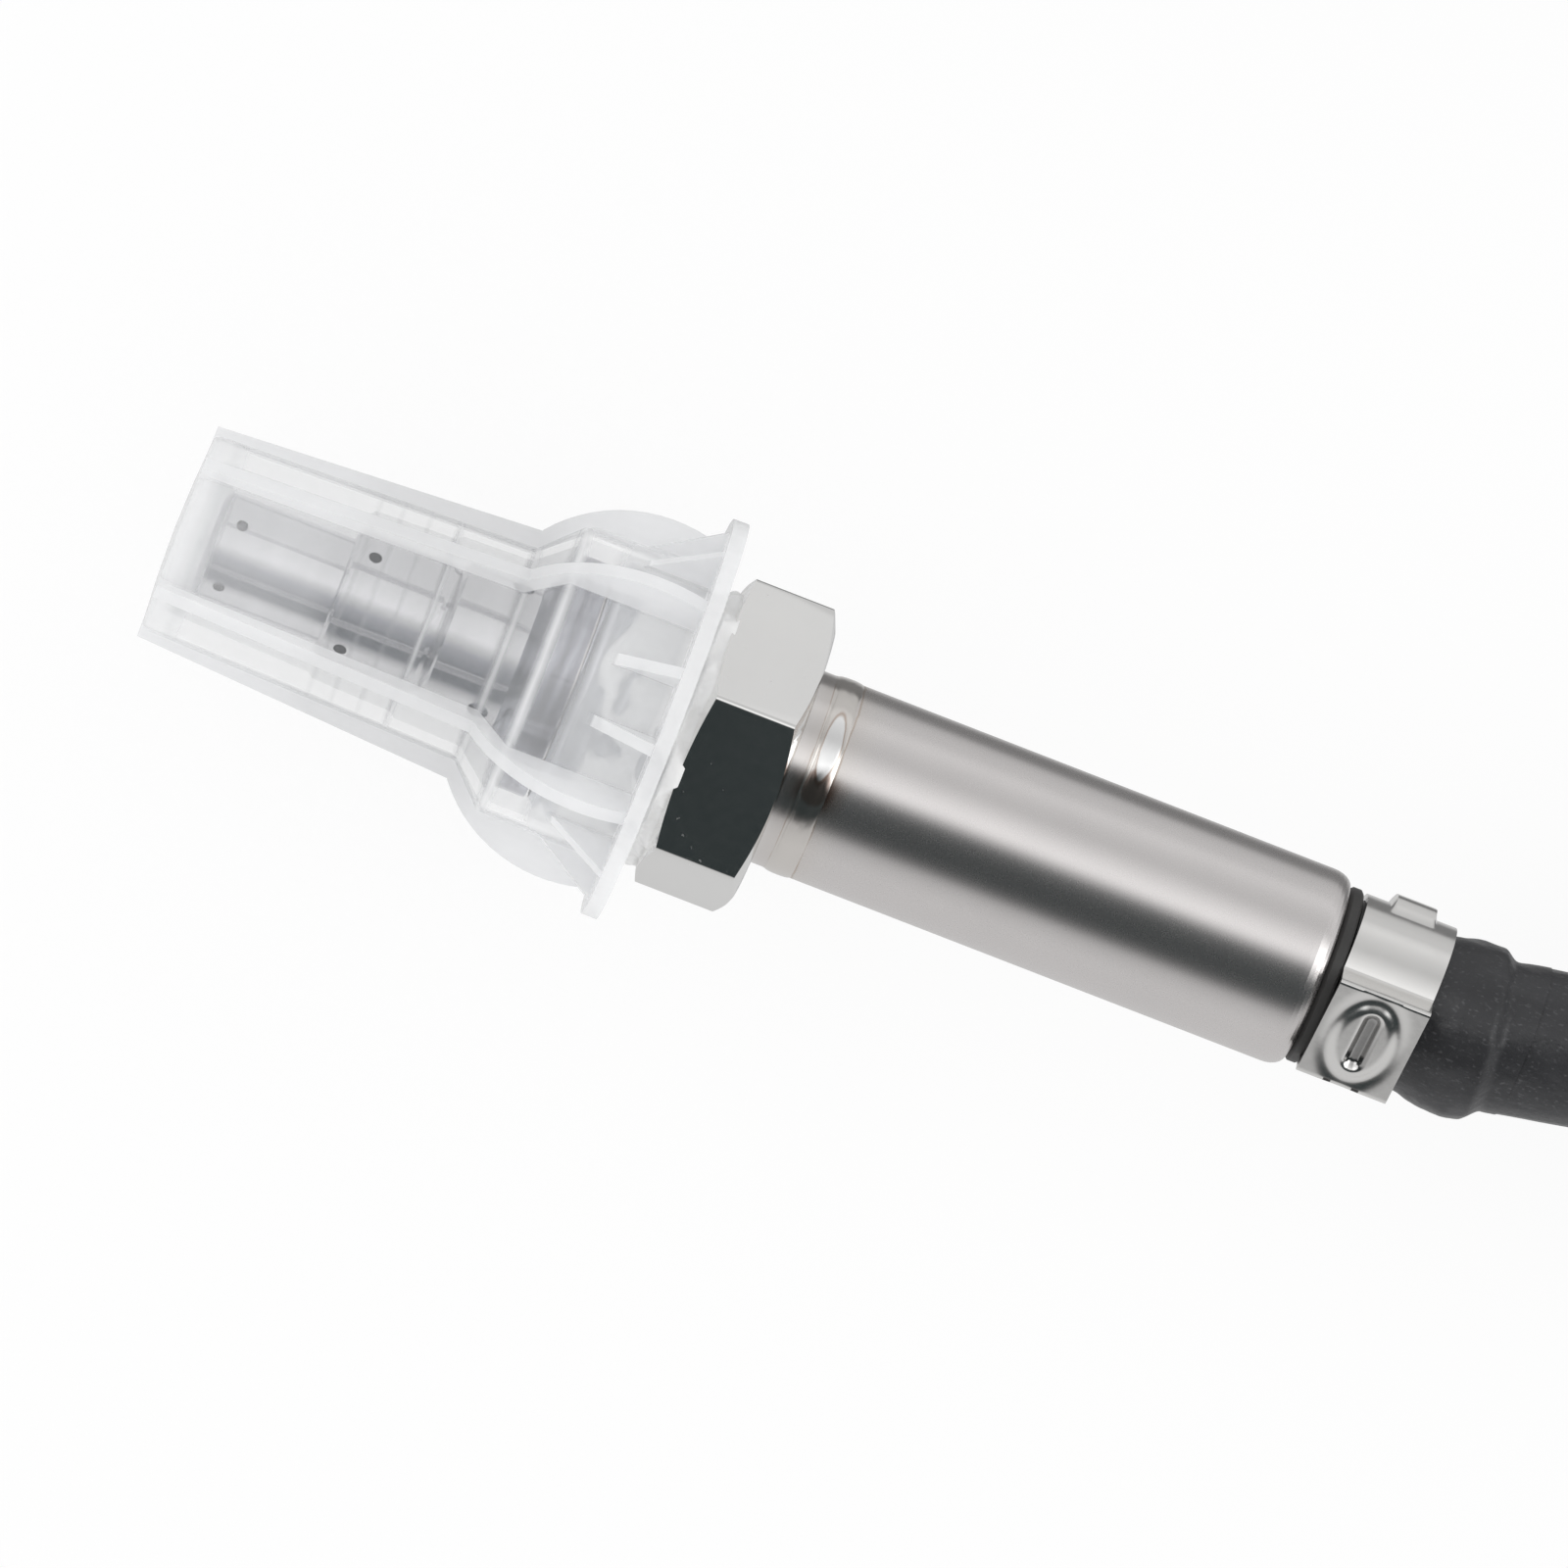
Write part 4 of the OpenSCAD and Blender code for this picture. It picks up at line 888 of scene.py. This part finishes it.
@dataclass
class CableRun:
    """The cable from the cover's end into the control unit.

    Attributes:
        route: points that its centre follows.
        radius: the cable's radius.
        sides: faces round it.
        step: spacing of its rings.
    """

    route: tuple[Triple, ...] = (
        (64.6, 0.4, 0), (70, 1.4, 0), (79, 3, -1), (92, 5, -4), (106, 7, -8), (120, 10, -9.9),
        (135, 16, -9.9), (149, 25, -9.9), (160, 37, -9.9), (168, 52, -9.9), (171, 69, -9.9),
        (169, 86, -9.9), (162, 102, -9.9), (151, 115, -9.9), (136, 124, -9.9), (119, 129, -9.9),
        (103, 131, -9.7), (89, 131, -7.7), (76, 131, -4.4), (66, 131, -2.1), (61, 131, -1.7),
        (52.5, 131, -1.7), (42, 131, -1.7))
    radius: float = 5.7
    sides: int = 48
    step: float = 1.2

    def centre(self) -> list[Vector]:
        """Returns the smooth line that the cable follows, as close points.

        Returns:
            The points in millimetres.
        """
        points = [Vector(point) for point in self.route]
        points = [points[0] * 2 - points[1], *points, points[-1] * 2 - points[-2]]
        line = []
        for before, start, end, after in zip(points, points[1:], points[2:], points[3:]):
            count = max(2, round((end - start).length / self.step))
            for index in range(count):
                share = index / count
                line.append(0.5 * (2 * start + (end - before) * share
                                   + (2 * before - 5 * start + 4 * end - after) * share ** 2
                                   + (3 * start - before - 3 * end + after) * share ** 3))
        return [*line, points[-2]]

    def build(self) -> None:
        line = self.centre()
        data = bpy.data.curves.new("cable_run", "CURVE")
        data.dimensions = "3D"
        data.bevel_depth = self.radius * MM
        data.bevel_resolution = self.sides // 4 - 2
        data.use_fill_caps = True
        spline = data.splines.new("POLY")
        spline.points.add(len(line) - 1)
        for point, spot in zip(spline.points, line):
            point.co = (*(spot * MM), 1)
        curve = bpy.data.objects.new("cable_run", data)
        bpy.context.scene.collection.objects.link(curve)
        take_up(curve)
        bpy.ops.object.convert(target="MESH")
        piece = settle(bpy.context.object, "cable_run")
        with bench(piece, "VERT"):
            bpy.ops.mesh.select_all(action="SELECT")
            bpy.ops.mesh.remove_doubles(threshold=0.001 * MM)
        for point in piece.data.vertices:
            point.co += point.normal * 0.06 * MM * noise.noise(point.co * 300)
        smooth(piece)
        place(piece, Body.SENSOR, "cable_cover", "cable")


class Turned(ABC):
    """A piece turned about the probe's axis."""

    @abstractmethod
    def radius(self, x: float, turn: float) -> float:
        """Returns the outer radius at a place.

        Args:
            x: place along X.
            turn: turn about the axis in degrees.

        Returns:
            The radius.
        """

    def shell(self, name: str, front: float, back: float, plain: float, sides: int, rings: int) -> Piece:
        """Makes the piece's outside as an open tube.

        Args:
            name: the piece's name.
            front: lowest place along X.
            back: highest place along X.
            plain: radius of the plain tube that is reshaped.
            sides: faces round the tube.
            rings: faces along the tube.

        Returns:
            The tube.
        """
        bpy.ops.mesh.primitive_cylinder_add(
            vertices=sides, radius=plain * MM, depth=(back - front) * MM, end_fill_type="NOTHING",
            location=((front + back) / 2 * MM, 0, 0), rotation=(0, math.pi / 2, 0))
        piece = settle(bpy.context.object, name)
        with bench(piece) as mesh:
            for edge in mesh.edges:
                edge.select_set(abs(edge.verts[0].co.x - edge.verts[1].co.x) > 0.01 * MM)
            bpy.ops.mesh.subdivide(number_cuts=rings - 1)
        for point in piece.data.vertices:
            x, y, z = point.co / MM
            turn = math.atan2(-y, z)
            reach = self.radius(x, math.degrees(turn))
            point.co = Vector((x, -reach * math.sin(turn), reach * math.cos(turn))) * MM
        return piece


@dataclass
class CoverEnd(Turned):
    """The swollen end of the cable's cover, under and behind the clamp.

    Attributes:
        front: where the cover starts under the clamp.
        clamp_back: back of the clamp's band.
        back: where the cover is as thin as the cable again.
        seat_r: radius under the band.
        swell_r: radius of the swelling.
        cable_r: radius of the cable.
    """

    front: float = 51.4
    clamp_back: float = 58.6
    back: float = 66.4
    seat_r: float = 6.18
    swell_r: float = 6.72
    cable_r: float = 5.7

    def radius(self, x: float, turn: float) -> float:
        """Returns the cover's radius at a place.

        Args:
            x: place along X.
            turn: turn about the axis in degrees.

        Returns:
            The radius.
        """
        base = self.seat_r + (self.swell_r - self.seat_r) * ease(x, self.clamp_back - 0.1, self.clamp_back + 2.6)
        fold_at = 64.0 + 0.7 * math.sin(math.radians(turn))
        thin = self.cable_r + 0.16 + (base - self.cable_r - 0.16) * (1 - ease(x, fold_at - 0.75, fold_at + 0.6))
        free = ease(x, self.clamp_back, self.clamp_back + 1.5)
        slant = noise.noise(Vector((x * 0.55 - turn * 0.035, turn * 0.01, 6.0)))
        crease = 0.1 * lumps(x, turn, 2.8, 3.0) + 0.03 * lumps(x, turn, 0.9, 9.0) + 0.12 * slant
        return thin + crease * free * (1 - 0.8 * ease(x, self.back - 2.5, self.back))

    def build(self) -> None:
        """Makes the cover's end."""
        piece = self.shell("cover_end", self.front, self.back, self.swell_r, 160, 90)
        for point in piece.data.vertices:
            point.co.y += 0.19 * MM * max(0.0, point.co.x / MM - 62.5)
        finish_with(piece, "SOLIDIFY", thickness=0.7 * MM, offset=-1)
        smooth(piece)
        place(piece, Body.SENSOR, "cable_cover", "cable_cover_end")


@dataclass
class EarClamp(Turned):
    """The stepless hose clamp with its pinched ear.

    Attributes:
        front: front edge of the band.
        width: width of the band.
        band_r: outer radius of the band.
        sheet: thickness of the band.
        ear_turn: turn of the ear's middle.
        ear_h: height of the ear's flat top above the axis.
        ear_lower: half the width of the ear's top and the slope of its side, on its lower side.
        ear_upper: the same on its upper side.
        ear_reach: turn from the ear's middle that it reaches to.
        middle: middle of the ear's oval ridge, from the front edge and across the ear.
        oval: half the width and half the length of the ridge.
        heights: height of the ridge, and depths of the groove round it and of its slot.
        slot_half: half the length of the slot's straight part.
        skew: slope by which the clamp sits askew on the cover.
        shift: how far it sits off its place along X.
        tongue_turn: turn of the raised band end.
        tongue_h: height of the raised band end.
    """

    front: float = 51.5
    width: float = 7.1
    band_r: float = 6.8
    sheet: float = 0.55
    ear_turn: float = 29.5
    ear_h: float = 8.0
    ear_lower: Pair = (4.0, 0.14)
    ear_upper: Pair = (4.6, -0.16)
    ear_reach: float = 60.0
    middle: Pair = (3.45, -0.4)
    oval: Pair = (2.3, 3.35)
    heights: Triple = (0.3, 0.13, 0.6)
    slot_half: float = 1.75
    skew: float = 0.05
    shift: float = -0.25
    tongue_turn: float = -90.0
    tongue_h: float = 0.8

    def radius(self, x: float, turn: float) -> float:
        """Returns the outer radius of the band at a place.

        Args:
            x: place along X.
            turn: turn about the axis in degrees.

        Returns:
            The radius.
        """
        at = (turn - self.ear_turn + 180) % 360 - 180
        if abs(at) > self.ear_reach:
            return self.band_r + self.tongue(x, turn)
        angle = math.radians(abs(at))
        half, splay = self.ear_lower if at > 0 else self.ear_upper
        side = (half + splay * self.ear_h) / (math.sin(angle) + splay * math.cos(angle) + 1e-6)
        ear = self.ear_h / math.cos(angle)
        if abs(at) > 12:
            ear = soft_least(ear, side, 0.6)
        outline = -soft_least(-self.band_r, -ear, 0.2)
        across = self.ear_h * math.tan(math.radians(at)) - self.middle[1]
        return outline + self.ridge(x - self.front - self.middle[0], across)

    def ridge(self, along: float, across: float) -> float:
        """Returns the height of the oval ridge, less its slot, at a place on the ear.

        Args:
            along: distance from the ridge's middle along X.
            across: distance across the ear.

        Returns:
            The height.
        """
        ridge, groove, slot = self.heights
        away = math.hypot(along / self.oval[0], across / self.oval[1])
        in_slot = math.hypot(along, max(0.0, abs(across) - self.slot_half))
        groove *= math.exp(-(((away - 1.14) / 0.17) ** 2))
        return ridge * (1 - ease(away, 0.74, 1.06)) - groove - slot * (1 - ease(in_slot, 0.25, 0.85))

    def tongue(self, x: float, turn: float) -> float:
        """Returns the height of the raised band end at a place.

        Args:
            x: place along X.
            turn: turn about the axis in degrees.

        Returns:
            The height.
        """
        at = abs((turn - self.tongue_turn + 180) % 360 - 180)
        along = abs(x - self.front - 3.6)
        return self.tongue_h * (1 - ease(along, 1.55, 1.85)) * (1 - ease(at, 8, 27))

    def build(self) -> None:
        """Makes the clamp."""
        piece = self.shell("pinched_clamp", self.front, self.front + self.width, self.band_r, 480, 48)
        for point in piece.data.vertices:
            point.co.x += self.skew * point.co.y + self.shift * MM
        finish_with(piece, "SOLIDIFY", thickness=self.sheet * MM, offset=-1)
        smooth(piece, 50)
        place(piece, Body.SENSOR, "clamp_steel", "ear_clamp")


@dataclass
class SwivelNut(Turned):
    """The nut: hexagon from the CAD node and a cut thread.

    Attributes:
        thread_front: front of the thread.
        thread_back: end of the thread.
        crest_r: radius of the thread's crests.
        depth: depth of the thread.
        pitch: pitch of the thread.
        core_r: radius of the shank below the thread.
        corner_from: radius beyond which the hexagon's long edges lie.
        edge: width by which those edges are worn round.
    """

    thread_front: float = -9.3
    thread_back: float = -0.7
    crest_r: float = 9.95
    depth: float = 0.9
    pitch: float = 1.5
    core_r: float = 8.95
    corner_from: float = 12.2
    edge: float = 0.3

    def radius(self, x: float, turn: float) -> float:
        """Returns the thread's outer radius at a place.

        Args:
            x: place along X.
            turn: turn about the axis in degrees.

        Returns:
            The radius.
        """
        share = ((x - self.thread_front) / self.pitch + turn / 360) % 1.0
        wave = min(1.0, max(0.0, 1.25 * (1 - abs(2 * share - 1)) - 0.06))
        run_in = self.crest_r - self.depth * (1 - ease(x, self.thread_front - 0.1, self.thread_front + 0.9))
        return min(self.crest_r - self.depth + self.depth * wave, run_in)

    def build(self) -> None:
        """Makes the nut."""
        piece = worked_copy("swivel_nut", "threaded_nut")
        for point in piece.data.vertices:
            reach = math.hypot(point.co.y, point.co.z) / MM
            if point.co.x < -0.06 * MM and reach > self.core_r:
                point.co.y, point.co.z = point.co.y * self.core_r / reach, point.co.z * self.core_r / reach
        with bench(piece) as mesh:
            for edge in mesh.edges:
                ends = [point.co for point in edge.verts]
                far = min(math.hypot(end.y, end.z) for end in ends) > self.corner_from * MM
                edge.select_set(far and abs(ends[0].x - ends[1].x) > 3 * MM)
            bpy.ops.mesh.bevel(offset=self.edge * MM, segments=4, clamp_overlap=False)
        smooth(piece)
        thread = self.shell("thread", self.thread_front, self.thread_back, self.crest_r, 120, 86)
        line_bore(thread, self.core_r - 0.4)
        smooth(thread, 25)
        take_up(piece)
        thread.select_set(True)
        bpy.ops.object.join()
        place(piece, Body.NUT, "nut_steel", "swivel_nut")


@dataclass
class ThreadPaste(Turned):
    """White paste smeared on the thread.

    Attributes:
        front: front edge of the smears.
        back: back edge, just inside the hexagon.
        flange_at: place of the cap's flange.
    """

    front: float = -9.2
    back: float = 0.35
    flange_at: float = -1.3

    def radius(self, x: float, turn: float) -> float:
        """Returns the paste's radius at a place; below 9 it lies inside the nut.

        Args:
            x: place along X.
            turn: turn about the axis in degrees.

        Returns:
            The radius.
        """
        smear = lumps(x, turn, 3.0, 1.0) + 0.5 * lumps(x, turn, 1.2, 5.0)
        edge = self.front + 1.6 + 1.8 * lumps(x, turn, 4.0, 7.0)
        bare = -0.58 - 0.4 * ease(x, self.flange_at, self.flange_at + 0.3)
        cover = ease(smear, bare, bare + 0.2) * ease(x, edge, edge + 0.7)
        bare_gap = ease(x, self.flange_at + 0.15, self.flange_at + 0.5)
        bulge = 0.45 + 1.1 * lumps(x, turn, 2.2, 11.0) + 0.5 * lumps(x, turn, 0.9, 13.0)
        full = 10.15 + bare_gap * max(-0.1, bulge) + 0.12 * lumps(x, turn, 0.8, 2.0)
        return 8.98 + (full - 8.98) * cover

    def build(self) -> None:
        """Makes the paste."""
        piece = self.shell("thread_paste", self.front, self.back, 10.0, 220, 90)
        line_bore(piece, 8.9)
        smooth(piece, 60)
        place(piece, Body.NUT, "cap_plastic", finish=PASTE)


@dataclass
class WeldBead(Turned):
    """The laser weld between the housing and the sleeve.

    Attributes:
        middle: place of the weld's middle.
        half: half the weld's width.
        tube_r: radius of the tubes that it joins.
        height: height of the bead.
    """

    middle: float = 10.0
    half: float = 0.95
    tube_r: float = 7.63
    height: float = 0.13

    def radius(self, x: float, turn: float) -> float:
        """Returns the bead's radius at a place.

        Args:
            x: place along X.
            turn: turn about the axis in degrees.

        Returns:
            The radius.
        """
        width = self.half * (1 + 0.1 * lumps(0, turn, 2.5, 4.0))
        share = (x - self.middle) / width
        crown = max(0.0, 1 - share * share)
        patch = math.exp(-((turn + 19) / 24) ** 2)
        ripple = 0.012 * lumps(x * 3, turn, 0.7, 8.0)
        return self.tube_r + (self.height + 0.08 * patch) * math.sqrt(crown) + ripple * crown

    def build(self) -> None:
        """Makes the bead."""
        piece = self.shell("weld_ring", self.middle - 1.1, self.middle + 1.1, self.tube_r, 200, 22)
        finish_with(piece, "SOLIDIFY", thickness=0.3 * MM, offset=-1)
        smooth(piece)
        place(piece, Body.SENSOR, "weld_metal", "weld_bead")


@dataclass
class Reworked:
    """A CAD node's own shape, shaded smooth.

    Attributes:
        node: the CAD node.
        name: the new piece's name.
        body: the body that it moves with.
        slot: the record's slot that it stands for.
        edge: width by which its sharp edges are softened, or 0.
    """

    node: str
    name: str
    body: Body
    slot: str
    edge: float = 0.0

    def build(self) -> None:
        """Makes the piece."""
        piece = worked_copy(self.node, self.name)
        if self.edge:
            finish_with(piece, "BEVEL", width=self.edge * MM, segments=2, limit_method="ANGLE",
                        angle_limit=math.radians(40), use_clamp_overlap=True)
        smooth(piece, 30)
        place(piece, self.body, self.slot, self.node)


@dataclass
class Sensor:
    """The whole dressed sensor.

    Attributes:
        unit_from: place along Y from which dark pieces outside the view aren't mirrored in metal.
    """

    frame: dict[str, Any]
    unit_from: float = 60.0

    def dress(self) -> None:
        """Gives each CAD node the finish of its slot."""
        for part in self.frame["record"]["subparts"]:
            material = FINISHES[part["material_slot"]].material()
            for place in self.frame["nodes"][part["node"]].material_slots:
                place.material = material
            log.info("dressed %s as %s", part["node"], material.name)

    def build(self) -> None:
        """Builds the scene in order."""
        bpy.ops.object.select_all(action="DESELECT")
        studio = Studio()
        studio.camera()
        CableRun().build()
        studio.surroundings()
        studio.floor()
        self.dress()
        cap = Reworked("protective_cap", "ribbed_cap", Body.NUT, "cap_plastic")
        unit = Reworked("unit_housing", "moulded_cover", Body.SENSOR, "unit_plastic", 0.35)
        for part in (CoverEnd(), EarClamp(), SwivelNut(), ThreadPaste(), cap, WeldBead(), unit):
            part.build()
        for name in [*self.frame["nodes"], "moulded_cover"]:
            piece = bpy.data.objects[name]
            piece.visible_glossy = min(corner[1] for corner in piece.bound_box) < self.unit_from * MM
        bpy.data.objects["cable_run"].visible_glossy = False


def main() -> None:
    """Loads the frame and dresses it."""
    logging.basicConfig(level=logging.INFO, format="%(message)s")
    for stray in list(bpy.data.objects):
        bpy.data.objects.remove(stray)
    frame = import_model()
    bpy.context.scene.view_settings.view_transform = "Standard"
    bpy.context.scene.cycles.transparent_max_bounces = 24
    Sensor(frame).build()


if __name__ == "__main__":
    main()
